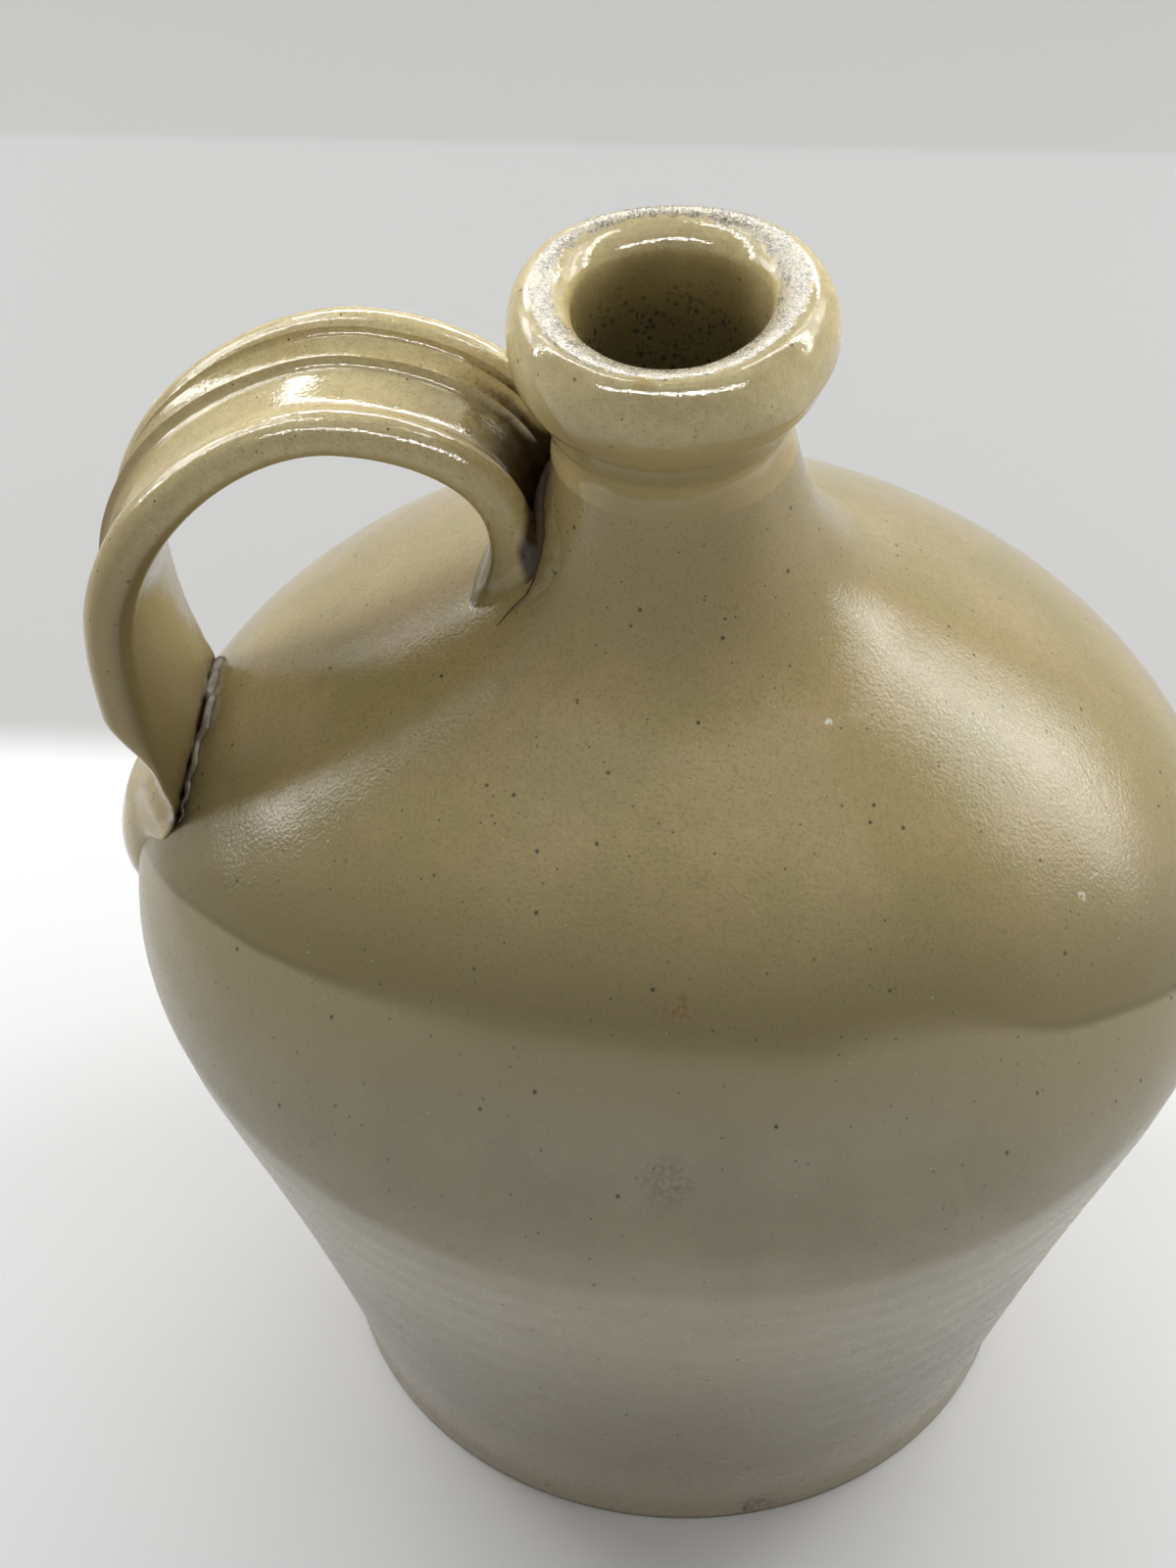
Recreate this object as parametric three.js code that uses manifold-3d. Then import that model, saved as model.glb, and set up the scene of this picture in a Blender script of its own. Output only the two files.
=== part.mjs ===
// Stoneware flask: a hand-thrown one gallon jug with a rolled lip and a reeded strap handle.
// Millimetres, +Z up. The origin is the middle of the flat foot, on the turning axis.
// The handle stands toward -X.

import * as THREE from 'three';
import { mergeVertices } from 'three/addons/utils/BufferGeometryUtils.js';
import Module from 'manifold-3d';

const wasm = await Module();
wasm.setup();

// Driving dimensions of the thrown body
const foot_radius = 76.5;
const foot_edge_round = 1.8;
const foot_band_height = 6.5;
const belly_radius = 114;
const belly_height = 133;
const shoulder_radius = 44.7;
const shoulder_height = 205.5;
const neck_radius = 23.6;
const neck_height = 243;
const wall = 6.6;
const floor_thickness = 9;
const floor_fillet = 14;

// Shares that shape the curves of the body between its named places
const wall_straight_share = 0.74;
const wall_lean_share = 0.27;
const belly_pull_share = 0.3;
const shoulder_rise_share = 0.3;
const shoulder_slope_share = 0.46;
const shoulder_slope = THREE.MathUtils.degToRad(32.7);
const neck_foot_share = 0.3;
const neck_pull_share = 0.48;

// Driving dimensions of the rolled lip and of the tooled throat and cove under it;
// each rise is measured from the top of the neck
const throat_radius = 23.1;
const throat_rise = 3.8;
const cove_foot_radius = 23.7;
const cove_foot_rise = 8;
const cove_radius = 25;
const cove_rise = 15;
const lip_radius = 30.5;
const lip_widest_rise = 26;
const lip_rise = 36;
const lip_crown_radius = 25.5;
const mouth_radius = 18.4;
const mouth_edge_round = 5.5;

// Shares of the roll's run and rise that pull its underside out of the cove
const under_pull_shares = [0.78, 0.55];

// The neck was thrown a little out of true: it drifts and tips toward the handle
const neck_drift = 3.2;
const neck_tip = THREE.MathUtils.degToRad(2.7);
const neck_drift_power = 3.2;

// Driving dimensions of the strap handle: its upper end stands on the neck and its lower end on the belly
const strap_width_root = 34;
const strap_width_press = 47;
const strap_width_tip = 7;
const strap_spread_power = 1.5;
const strap_thickness = 8.6;
const strap_tip_thickness = 3;
const strap_crevice = 0.6;
const strap_set_back = 8;
const strap_turn = THREE.MathUtils.degToRad(9.6);
const strap_roll = THREE.MathUtils.degToRad(6.5);
const root_depth = 23;
const arch_rise = 32;
const arch_top_reach = 32.5;
const leg_drop = 51;
const leg_stand = 5.2;
const press_rise = 23.5;
const tongue_drop = 14.5;
const tongue_swell = 6;
const thumb_reach = 28;

// Shares that shape the four curves of the strap's middle line
const root_pull_shares = [0.8, 0.15];
const arch_pull_shares = [0.46, 0.5];
const leg_pull_shares = [0.42, 0.3];
const tongue_pull_shares = [0.28, 0.45];

// Shares of the thickness that a thumb leaves at the strap's edges, and at the edges of its tip,
// and of the half width that it presses
const thumb_left_share = 0.26;
const tip_left_share = 0.75;
const thumb_edge_shares = [0.35, 0.9];

// The reeds between the strap's two rolled edges: a broad channel, then two sharp ribs and their grooves.
// Each pair is a share of the way from the front roll to the back one, and a share of half the thickness.
const reed_shares = [
  [0.03, 0.36],
  [0.22, 0.29],
  [0.42, 0.4],
  [0.56, 0.73],
  [0.6, 0.86],
  [0.65, 0.42],
  [0.745, 0.77],
  [0.805, 0.86],
  [0.895, 0.42],
];

// Shares of a half turn over which each rolled edge is round, the front one and then the back one
const front_roll_shares = [-0.5, 0.72];
const back_roll_shares = [0.34, 1.5];

// Driving dimensions of the clay that lutes the strap to the body
const root_lute_spread = 9;
const root_lute_lip = 2.4;
const root_lute_rise = 30;
const root_lute_height = 5.5;
const corner_lute_radius = 4.4;
const corner_taper_share = 0.9;
const corner_taper_power = 4;

// Named clearance between a cut piece and the piece that it seats on
const clearance = 0.3;

// Fineness of the facets
const turns = 60;
const curve_steps = 8;
const roll_steps = 5;
const lip_steps = 4;
const strap_steps = 46;
const lute_steps = 20;
const ring_steps = 28;

// Colours of the glazed clay
const honey_glaze = new THREE.MeshStandardMaterial({ color: 0xb0a079, roughness: 0.28, metalness: 0 });
const cream_glaze = new THREE.MeshStandardMaterial({ color: 0xa79d83, roughness: 0.3, metalness: 0 });
const lip_glaze = new THREE.MeshStandardMaterial({ color: 0xb8a97c, roughness: 0.26, metalness: 0 });
const strap_glaze = new THREE.MeshStandardMaterial({ color: 0xb3a47a, roughness: 0.27, metalness: 0 });
const lute_glaze = new THREE.MeshStandardMaterial({ color: 0x8d7d57, roughness: 0.4, metalness: 0 });

// Outer profile of the lower body: foot edge, foot band, leaning wall and belly
function lowerOuter() {
  const wall_height = belly_height - foot_band_height;
  const wall_flare = belly_radius - foot_radius;
  const straight_height = foot_band_height + wall_height * wall_straight_share;
  const straight_radius = belly_radius - wall_flare * wall_lean_share;
  const lean = new THREE.Vector2(straight_radius - foot_radius, straight_height - foot_band_height).normalize();
  const pull = (belly_height - straight_height) * wall_straight_share / 2;
  const path = new THREE.Path();
  path.moveTo(foot_radius - foot_edge_round, 0);
  path.quadraticCurveTo(foot_radius, 0, foot_radius, foot_edge_round);
  path.lineTo(foot_radius, foot_band_height);
  path.lineTo(straight_radius, straight_height);
  path.bezierCurveTo(
    straight_radius + lean.x * pull, straight_height + lean.y * pull,
    belly_radius, belly_height - (belly_height - straight_height) * belly_pull_share,
    belly_radius, belly_height,
  );
  return distinct(path.getPoints(curve_steps));
}

// Outer profile of the upper body: shoulder dome, slope and hollow neck
function upperOuter() {
  const rise = shoulder_height - belly_height;
  const run = belly_radius - shoulder_radius;
  const slope = new THREE.Vector2(-Math.cos(shoulder_slope), Math.sin(shoulder_slope));
  const span = Math.hypot(rise, run);
  const neck_span = neck_height - shoulder_height;
  const foot_pull = neck_span * neck_foot_share;
  const path = new THREE.Path();
  path.moveTo(belly_radius, belly_height);
  path.bezierCurveTo(
    belly_radius, belly_height + rise * shoulder_rise_share,
    shoulder_radius - slope.x * span * shoulder_slope_share, shoulder_height - slope.y * span * shoulder_slope_share,
    shoulder_radius, shoulder_height,
  );
  path.bezierCurveTo(
    shoulder_radius + slope.x * foot_pull, shoulder_height + slope.y * foot_pull,
    neck_radius, neck_height - neck_span * neck_pull_share,
    neck_radius, neck_height,
  );
  return distinct(path.getPoints(curve_steps));
}

// A path's points without repeats
function distinct(points) {
  return points.filter((point, index) => index === 0 || point.distanceTo(points[index - 1]) > Number.EPSILON);
}

// Radius of a rising profile at a height
function radiusOn(points, height) {
  const next = points.findIndex((point) => point.y > height);
  const [low, high] = [points[next - 1], points[next]];
  return THREE.MathUtils.mapLinear(height, low.y, high.y, low.x, high.x);
}

// A profile moved inward by a distance, square to itself; a negative distance moves it outward
function inset(points, distance) {
  return points.map((point, index) => {
    const before = points[Math.max(index - 1, 0)];
    const after = points[Math.min(index + 1, points.length - 1)];
    const along = new THREE.Vector2().subVectors(after, before).normalize();
    return new THREE.Vector2(point.x - along.y * distance, point.y + along.x * distance);
  });
}

// A closed profile turned about the axis, with shared vertices and no empty triangles
function turned(profile) {
  const closed = [...profile, profile[0].clone()];
  const lathe = new THREE.LatheGeometry(closed, turns);
  lathe.rotateX(Math.PI / 2);
  return outOfTrue(shared(lathe));
}

// Each turned piece drifts toward the handle with its height, and its rings tip above the shoulder
function outOfTrue(geometry) {
  const places = geometry.attributes.position;
  for (let i = 0; i < places.count; i += 1) {
    const height = Math.max(places.getZ(i), 0);
    const drift = neck_drift * (height / neck_height) ** neck_drift_power;
    const tip = Math.tan(neck_tip) * THREE.MathUtils.smoothstep(height, shoulder_height, neck_height);
    places.setXYZ(i, places.getX(i) - drift, places.getY(i), places.getZ(i) + places.getX(i) * tip);
  }
  return geometry;
}

function shared(geometry) {
  geometry.deleteAttribute('normal');
  geometry.deleteAttribute('uv');
  const merged = mergeVertices(geometry);
  const index = merged.index.array;
  const kept = [];
  for (let t = 0; t < index.length; t += 3) {
    const [a, b, c] = [index[t], index[t + 1], index[t + 2]];
    if (a !== b && b !== c && c !== a) kept.push(a, b, c);
  }
  merged.setIndex(kept);
  return merged;
}

// Between a three.js geometry and a solid that can be cut
function solid(geometry) {
  return new wasm.Manifold(new wasm.Mesh({
    numProp: 3,
    vertProperties: new Float32Array(geometry.attributes.position.array),
    triVerts: new Uint32Array(geometry.index.array),
  }));
}

function geometryOf(cut) {
  const mesh = cut.getMesh();
  const geometry = new THREE.BufferGeometry();
  geometry.setAttribute('position', new THREE.BufferAttribute(new Float32Array(mesh.vertProperties), 3));
  geometry.setIndex(Array.from(mesh.triVerts));
  return geometry;
}

// The lower body: a floor and a leaning wall, open at the belly joint
function lowerBody() {
  const outer = lowerOuter();
  const inner = inset(outer, wall);
  const fillet_height = floor_thickness + floor_fillet;
  const corner = new THREE.Vector2(radiusOn(inner, fillet_height), fillet_height);
  const inside = inner.filter((point) => point.y > fillet_height);
  inside[inside.length - 1].set(belly_radius - wall, belly_height);
  const hollow = new THREE.Path();
  hollow.moveTo(corner.x, corner.y);
  hollow.quadraticCurveTo(
    corner.x - floor_fillet * wall_lean_share, floor_thickness,
    corner.x - floor_fillet, floor_thickness,
  );
  return turned([
    new THREE.Vector2(0, 0),
    ...outer,
    ...inside.reverse(),
    ...hollow.getPoints(curve_steps),
    new THREE.Vector2(0, floor_thickness),
  ]);
}

// The upper body: shoulder and neck, an open shell seated on the belly joint
function upperBody() {
  const outer = upperOuter();
  const inside = inset(outer, wall);
  inside[0].set(belly_radius - wall, belly_height);
  inside[inside.length - 1].set(neck_radius - wall, neck_height);
  return turned([...outer, ...inside.reverse()]);
}

// Outer profile of the lip: a throat and a cove tooled into the neck, and over them a rolled collar
function lipOuter() {
  const [throat, cove_foot, cove, widest, top] = [throat_rise, cove_foot_rise, cove_rise, lip_widest_rise, lip_rise]
    .map((rise) => neck_height + rise);
  const path = new THREE.Path();
  path.moveTo(neck_radius, neck_height);
  path.quadraticCurveTo(throat_radius, (neck_height + throat) / 2, throat_radius, throat);
  path.quadraticCurveTo(throat_radius, (throat + cove_foot) / 2, cove_foot_radius, cove_foot);
  path.quadraticCurveTo(cove_foot_radius, (cove_foot + cove) / 2, cove_radius, cove);
  path.bezierCurveTo(
    THREE.MathUtils.lerp(cove_radius, lip_radius, under_pull_shares[0]), cove,
    lip_radius, THREE.MathUtils.lerp(widest, cove, under_pull_shares[1]),
    lip_radius, widest,
  );
  path.bezierCurveTo(
    lip_radius, (widest + top) / 2,
    (lip_radius + lip_crown_radius) / 2, top,
    lip_crown_radius, top,
  );
  path.bezierCurveTo(
    (lip_crown_radius + mouth_radius) / 2, top,
    mouth_radius, top - mouth_edge_round / 4,
    mouth_radius, top - mouth_edge_round,
  );
  return distinct(path.getPoints(lip_steps));
}

// The lip collar, seated on the top of the neck, with a bore that narrows to the neck's
function lipCollar() {
  return turned([...lipOuter(), new THREE.Vector2(neck_radius - wall, neck_height)]);
}

// The whole outside of the turned clay as one filled solid, grown by a clearance
function envelope(grow) {
  const outline = [...lowerOuter(), ...upperOuter().slice(1), ...lipOuter().slice(1)];
  const grown = inset(outline, -grow);
  const lowest = new THREE.Vector2(grown[0].x, -grow);
  return solid(turned([new THREE.Vector2(0, -grow), lowest, ...grown, new THREE.Vector2(0, grown.at(-1).y)]));
}

// Radius of the outside of the body at a height
function radiusAt(height) {
  return radiusOn([...lowerOuter(), ...upperOuter().slice(1)], height);
}

// Height at which the shoulder or the neck has narrowed to a radius
function heightAt(radius) {
  const outline = upperOuter();
  const next = outline.findIndex((point) => point.x < radius);
  const [low, high] = [outline[next - 1], outline[next]];
  return THREE.MathUtils.mapLinear(radius, low.x, high.x, low.y, high.y);
}

// The strap's middle line in its own upright plane: x runs out from the axis and y is the height.
// It rises beside the neck, arches over, comes down and ends in a tongue on the belly.
const half_strap = strap_thickness / 2;
const root_out = neck_radius + neck_drift + strap_crevice + half_strap;
const root_height = heightAt(root_out);
const arch_top = root_height + arch_rise;
const arch_top_out = root_out + arch_top_reach;
const leg_height = arch_top - leg_drop;
const press_height = belly_height + press_rise;
const tongue_height = belly_height - tongue_drop;

function strapLine() {
  const root = new THREE.Vector2(root_out, root_height - root_depth);
  const top = new THREE.Vector2(arch_top_out, arch_top);
  const press = new THREE.Vector2(radiusAt(press_height) + half_strap, press_height);
  const leg_out = press.x + leg_stand;
  const leg = new THREE.Vector2(leg_out, leg_height);
  const tip = new THREE.Vector2(radiusAt(tongue_height) + strap_tip_thickness / 4, tongue_height);
  const root_rise = arch_top - root.y;
  const leg_fall = leg_height - press_height;
  const tongue_fall = press_height - tongue_height;
  const spans = [
    [
      root,
      new THREE.Vector2(root_out - half_strap, root.y + root_rise * root_pull_shares[0]),
      new THREE.Vector2(root_out + arch_top_reach * root_pull_shares[1], arch_top),
      top,
    ],
    [
      top,
      new THREE.Vector2(arch_top_out + (leg_out - arch_top_out) * arch_pull_shares[0], arch_top),
      new THREE.Vector2(leg_out, leg_height + leg_drop * arch_pull_shares[1]),
      leg,
    ],
    [
      leg,
      new THREE.Vector2(leg_out, leg_height - leg_fall * leg_pull_shares[0]),
      new THREE.Vector2(press.x - strap_tip_thickness, press_height + leg_fall * leg_pull_shares[1]),
      press,
    ],
    [
      press,
      new THREE.Vector2(press.x + tongue_swell, press_height - tongue_fall * tongue_pull_shares[0]),
      new THREE.Vector2(tip.x + tongue_swell, tongue_height + tongue_fall * tongue_pull_shares[1]),
      tip,
    ],
  ];
  const line = new THREE.CurvePath();
  spans.forEach((points) => line.add(new THREE.CubicBezierCurve(...points)));
  return line;
}

// One section of the strap: x is positive toward the front edge and y is outward from the middle line.
// Two rolled edges, a broad channel and two sharp ribs; fade flattens the ribs on the tongue,
// and press is how far the thumbs have flattened the two edges.
function strapSection(width, thickness, fade, press) {
  const half = thickness / 2;
  const front = width / 2 - half;
  const between = (front - half) * 2;
  const roll = (centre, shares) => {
    const [from, to] = shares.map((share) => share * Math.PI);
    return new THREE.EllipseCurve(centre, 0, half, half, from, to, false).getPoints(roll_steps);
  };
  const reeds = reed_shares.map(([across_share, height_share]) => new THREE.Vector2(
    front - half - between * across_share,
    half * THREE.MathUtils.lerp(height_share, 1, fade),
  ));
  const section = [
    ...roll(front, front_roll_shares),
    ...reeds,
    ...roll(-front, back_roll_shares),
    new THREE.Vector2(0, -half),
  ];
  const left = THREE.MathUtils.lerp(thumb_left_share, tip_left_share, fade);
  section.forEach((point) => {
    const edge = THREE.MathUtils.smoothstep(Math.abs(point.x) / (width / 2), ...thumb_edge_shares);
    point.y = (point.y + half) * THREE.MathUtils.lerp(1, left, edge * press) - half;
  });
  return section;
}

// A skin drawn over a row of rings with the same number of points, closed by a fan at both ends
function loft(rings) {
  const count = rings[0].length;
  const positions = [];
  const index = [];
  const middles = [rings[0], rings.at(-1)].map((ring) => {
    const middle = new THREE.Vector3();
    ring.forEach((point) => middle.add(point));
    return middle.divideScalar(count);
  });
  rings.flat().forEach((point) => positions.push(point.x, point.y, point.z));
  middles.forEach((point) => positions.push(point.x, point.y, point.z));
  const first_middle = rings.length * count;
  const last_row = (rings.length - 1) * count;
  for (let column = 0; column < count; column += 1) {
    const next = (column + 1) % count;
    for (let row = 0; row < rings.length - 1; row += 1) {
      const [here, beyond] = [row * count, (row + 1) * count];
      index.push(here + column, here + next, beyond + next);
      index.push(here + column, beyond + next, beyond + column);
    }
    index.push(first_middle, next, column);
    index.push(first_middle + 1, last_row + column, last_row + next);
  }
  const geometry = new THREE.BufferGeometry();
  geometry.setAttribute('position', new THREE.Float32BufferAttribute(positions, 3));
  geometry.setIndex(index);
  return geometry;
}

// The strap as a solid; the plain one is smooth all round and larger by the clearance, to cut with
function strapSolid(plain) {
  const line = strapLine();
  const lengths = line.getCurveLengths();
  const whole = lengths.at(-1);
  const press_at = lengths[2] / whole;
  const rings = [];
  for (let step = 0; step <= strap_steps; step += 1) {
    const along = step / strap_steps;
    const centre = line.getPointAt(along);
    const tangent = line.getTangentAt(along);
    const outward = new THREE.Vector2(-tangent.y, tangent.x);
    const fade = THREE.MathUtils.smoothstep(along, press_at, 1);
    const taper = Math.max(along - press_at, 0) / (1 - press_at);
    const press = 1 - THREE.MathUtils.smoothstep((press_at - along) * whole, 0, thumb_reach);
    const spread = Math.min(along / press_at, 1) ** strap_spread_power;
    const full_width = THREE.MathUtils.lerp(strap_width_root, strap_width_press, spread);
    const width = THREE.MathUtils.lerp(strap_width_tip, full_width, Math.sqrt(1 - taper ** 3));
    const thickness = THREE.MathUtils.lerp(strap_thickness, strap_tip_thickness, fade);
    const section = plain
      ? strapSection(width + clearance * 2, thickness + clearance * 2, 1, 0)
      : strapSection(width, thickness, fade, press);
    rings.push(section.map((point) => {
      const across = point.x * Math.cos(strap_roll) + point.y * Math.sin(strap_roll);
      const out = point.y * Math.cos(strap_roll) - point.x * Math.sin(strap_roll);
      return new THREE.Vector3(
        -centre.x - outward.x * out * Math.cos(strap_turn) - across * Math.sin(strap_turn),
        strap_set_back + outward.x * out * Math.sin(strap_turn) - across * Math.cos(strap_turn),
        centre.y + outward.y * out,
      );
    }));
  }
  return solid(loft(rings));
}

// The strap handle, cut to the outside of the body that it is pressed on
function strapHandle() {
  return geometryOf(largest(strapSolid(false).subtract(envelope(clearance))));
}

// The clay smeared round the foot of the strap, where it stands on the shoulder beside the neck
function rootLute() {
  const line = strapLine();
  const foot_ring = root_height - root_depth;
  const rings = [];
  for (let step = 0; step <= lute_steps; step += 1) {
    const share = step / lute_steps;
    const rise = root_lute_rise * share;
    const spread = THREE.MathUtils.lerp(root_lute_spread, root_lute_lip, Math.sqrt(share));
    const half_width = strap_width_root / 2 + spread;
    const half_depth = half_strap + spread;
    const out = line.getPointAt(rise / line.getLength()).x;
    const ring = [];
    for (let corner = 0; corner < ring_steps; corner += 1) {
      const angle = (corner / ring_steps) * Math.PI * 2;
      const [cosine, sine] = [Math.cos(angle), Math.sin(angle)];
      ring.push(new THREE.Vector3(
        -out + Math.sign(cosine) * Math.sqrt(Math.abs(cosine)) * half_depth,
        strap_set_back + Math.sign(sine) * Math.sqrt(Math.abs(sine)) * half_width,
        foot_ring + rise,
      ));
    }
    rings.push(ring);
  }
  const collar = solid(loft(rings)).intersect(envelope(root_lute_height));
  return geometryOf(largest(collar.subtract(envelope(clearance)).subtract(strapSolid(true))));
}

// The roll of slip squeezed out in the corner under the strap, where it meets the shoulder
function cornerLute() {
  const height = press_height + corner_lute_radius;
  const out = radiusAt(height);
  const half_length = strap_width_press / 2 - corner_lute_radius;
  const rings = [];
  for (let step = 0; step <= lute_steps; step += 1) {
    const share = step / lute_steps * 2 - 1;
    const radius = corner_lute_radius * Math.sqrt(1 - share ** corner_taper_power * corner_taper_share);
    const ring = [];
    for (let corner = 0; corner < ring_steps; corner += 1) {
      const angle = -(corner / ring_steps) * Math.PI * 2;
      ring.push(new THREE.Vector3(
        -out + Math.cos(angle) * radius,
        strap_set_back + half_length * share,
        height + Math.sin(angle) * radius,
      ));
    }
    rings.push(ring);
  }
  const cut = solid(loft(rings)).subtract(envelope(clearance)).subtract(strapSolid(true));
  return geometryOf(largest(cut));
}

// The largest of the bodies that a cut leaves
function largest(cut) {
  return cut.decompose().sort((one, other) => other.volume() - one.volume())[0];
}

const flask = new THREE.Group();

function place(name, geometry, material) {
  const mesh = new THREE.Mesh(geometry, material);
  mesh.name = name;
  flask.add(mesh);
}

place('lower_body', lowerBody(), cream_glaze);
place('upper_body', upperBody(), honey_glaze);
place('lip_collar', lipCollar(), lip_glaze);
place('strap_handle', strapHandle(), strap_glaze);
place('root_lute', rootLute(), lute_glaze);
place('corner_lute', cornerLute(), lute_glaze);

export default flask;
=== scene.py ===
# A hand-thrown stoneware flask: two-tone glazed body, rolled lip with a worn rim, reeded strap handle.
# Sizes are in millimetres and turned into metres where a mesh, lamp or camera is made.
# The flask stands at the origin on z = 0. Its handle is toward -X and the camera looks from -Y.

import math

import bpy
import numpy as np
from mathutils import Matrix, Vector


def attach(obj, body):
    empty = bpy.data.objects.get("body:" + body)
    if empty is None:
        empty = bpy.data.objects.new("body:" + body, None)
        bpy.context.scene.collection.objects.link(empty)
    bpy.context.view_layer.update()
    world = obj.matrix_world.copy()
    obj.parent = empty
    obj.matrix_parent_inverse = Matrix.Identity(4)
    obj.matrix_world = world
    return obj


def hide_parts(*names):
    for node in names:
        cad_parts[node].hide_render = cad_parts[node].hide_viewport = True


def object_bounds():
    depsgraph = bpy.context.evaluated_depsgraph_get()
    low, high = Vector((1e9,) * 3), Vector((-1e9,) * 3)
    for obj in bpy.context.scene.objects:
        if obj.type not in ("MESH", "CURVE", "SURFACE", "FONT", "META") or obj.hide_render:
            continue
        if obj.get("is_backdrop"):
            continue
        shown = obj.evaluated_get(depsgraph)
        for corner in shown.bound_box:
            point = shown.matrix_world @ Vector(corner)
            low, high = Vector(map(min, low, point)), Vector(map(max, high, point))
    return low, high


MM = 0.001
BODY = "root"

# Thrown body, as radii and heights on the turning axis
FOOT_RADIUS = 76.5
FOOT_EDGE_ROUND = 1.8
FOOT_BAND_HEIGHT = 6.5
BELLY_RADIUS = 114
BELLY_HEIGHT = 133
SHOULDER_RADIUS = 44.7
SHOULDER_HEIGHT = 205.5
NECK_RADIUS = 23.6
NECK_HEIGHT = 243
WALL = 6.6
FLOOR_THICKNESS = 9
FLOOR_FILLET = 14
FLOOR_BEND_SHARE = 0.27
WALL_LEAN = math.radians(14.75)
WALL_PULL = 87.5
BELLY_PULL = 10
SHOULDER_RISE_SHARE = 0.3
SHOULDER_SLOPE_SHARE = 0.46
SHOULDER_SLOPE = math.radians(32.7)
NECK_FOOT_SHARE = 0.3
NECK_PULL_SHARE = 0.48

# How far the thrown body is out of true
NECK_DRIFT = 3.2
NECK_TIP = math.radians(2.7)
NECK_DRIFT_POWER = 3.2
OVAL_SHARE = 0.007
THROAT_HOLLOW = 0.6
THROAT_SPAN = 8

# Lip: tooled throat and cove, rolled collar and mouth, each as (radius, height)
THROAT = (23.1, 246.8)
COVE_FOOT = (23.8, 251.0)
COVE_STEP = (24.3, 251.7)
COVE_RIDGE = (24.6, 255.2)
COVE = (25.0, 258.0)
LIP_WIDEST = (30.5, 269.0)
LIP_CROWN = (25.5, 279.1)
MOUTH = (18.4, 273.6)
UNDER_PULL_SHARES = (0.78, 0.55)
CROWN_PULL_SHARES = (0.52, 0.52)
MOUTH_PULL_SHARES = (0.5, 0.5)
LINE_DEPTH = 0.12
LINE_PULL = 1
BORE_PULLS = (8, 10)

# Hand-made unevenness of the lip
LIP_WAVE = 0.16
LIP_WAVE_LENGTHS = (6, 4)
LIP_BULGE = 0.5
LIP_BULGE_ANGLE = math.radians(15)
LIP_PINCH = 1.0
PINCH_RISES = (8, 4)
LIP_DROP = 0.9
FRONT_SPREAD = 0.9
FRONT_DROP = 1.2

# Faint marks of throwing and drying on the outside
RING_HEIGHT = 0.07
RING_PITCH = 10.5
WAVE_HEIGHT = 0.16
WAVE_LENGTHS = (31, 19, 23, 37)
FOOT_FADE = 3
NECK_FADE = 4

# Middle line of the strap in its upright plane, as (distance from the axis, height)
STRAP_ROOT = (33.8, 210.5)
STRAP_TOP = (65.3, 249.9)
STRAP_LEG = (112.9, 198.1)
STRAP_PRESS = (106.0, 162.5)
ROOT_LEAN = math.radians(-18.3)
PRESS_LEAN = math.radians(13.8)
ROOT_PULL = 30.1
TOP_PULLS = (19.3, 21.1)
LEG_PULLS = (24.8, 13.7)
PRESS_PULL = 6.4

# Turn, sideways drift and twist of the strap from its root to its press
STRAP_TURN = math.radians(-9.61)
STRAP_DRIFTS = (-2.8, 12.2)
STRAP_TWISTS = (math.radians(-4.6), math.radians(-7.5))
ROLL_SPACINGS = (24.9, 39.7)
ROLL_SPACING_POWER = 1.6
ROLL_RADIUS = 4.4
RIDGE_WAVES = ((0.16, 17, 0), (0.1, 7.3, 1))
RIDGE_SHARE = -0.39
RIDGE_SPREAD_SHARE = 0.35
RIDGE_END_SHARE = 0.95

# Camera of the photograph
CAMERA_PLACE = (0.0, -478.0, 619.4)
CAMERA_YAW = math.radians(-2.415)
CAMERA_PITCH = math.radians(44.245)
CAMERA_ROLL = math.radians(-0.373)
CAMERA_LENS = 74.25
CAMERA_SENSOR = 36

# Lamps of a white box that is open at the top, as (name, place, target, size, radiance)
LAMPS = (
    ("ring_left", (-700, 475, 777), (0, 100, 150), (14, 850), 38),
    ("ring_right", (700, 400, 777), (0, 100, 150), (14, 900), 32),
    ("ring_back", (0, 800, 777), (0, 100, 150), (1400, 14), 30),
    ("left_broad", (-700, 420, 640), (0, 100, 150), (420, 860), 2.4),
    ("right_broad", (700, 400, 640), (0, 100, 150), (420, 820), 3.5),
    ("back_broad", (0, 850, 640), (0, 100, 150), (1300, 420), 1.1),
    ("right_wall", (600, 20, 230), (0, 20, 200), (700, 420), 0.3),
    ("back_wall", (0, 700, 300), (0, 0, 250), (1200, 500), 0.25),
    ("ceiling", (0, 150, 850), (0, 150, 0), (1100, 1000), 0.55),
)

# Broad light from the front, which is not mirrored
FRONT_LAMP = ("front_broad", (0, -700, 420), (0, -150, 0), (1400, 500), 0.8)

# Strips round the open top that give only the highlights of the lip and the strap
RIM_LAMPS = (
    ("rim_left", (-700, 150, 777), (0, 100, 150), (65, 1300), 26),
    ("rim_right", (700, 150, 777), (0, 100, 150), (65, 1300), 24),
    ("rim_back", (0, 800, 777), (0, 100, 150), (1400, 70), 42),
    ("rim_front", (0, -530, 777), (0, 0, 150), (1400, 65), 34),
)

# Small bright patches mirrored in the shoulder, as (name, start, azimuth, elevation, half spread, radiance)
PATCH_DISTANCE = 900
PATCHES = (
    ("left_panel", (-72, -27, 183), 151, 18, (8, 7), 5),
    ("right_patch", (62, -40, 185), 15.5, 28, (3, 4), 5),
)
WORLD_STRENGTH = 0.05
BACKDROP_STRENGTH = 0.5
FLOOR_HALF = 6000
FLOOR_FADE = (800, 1500)

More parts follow.
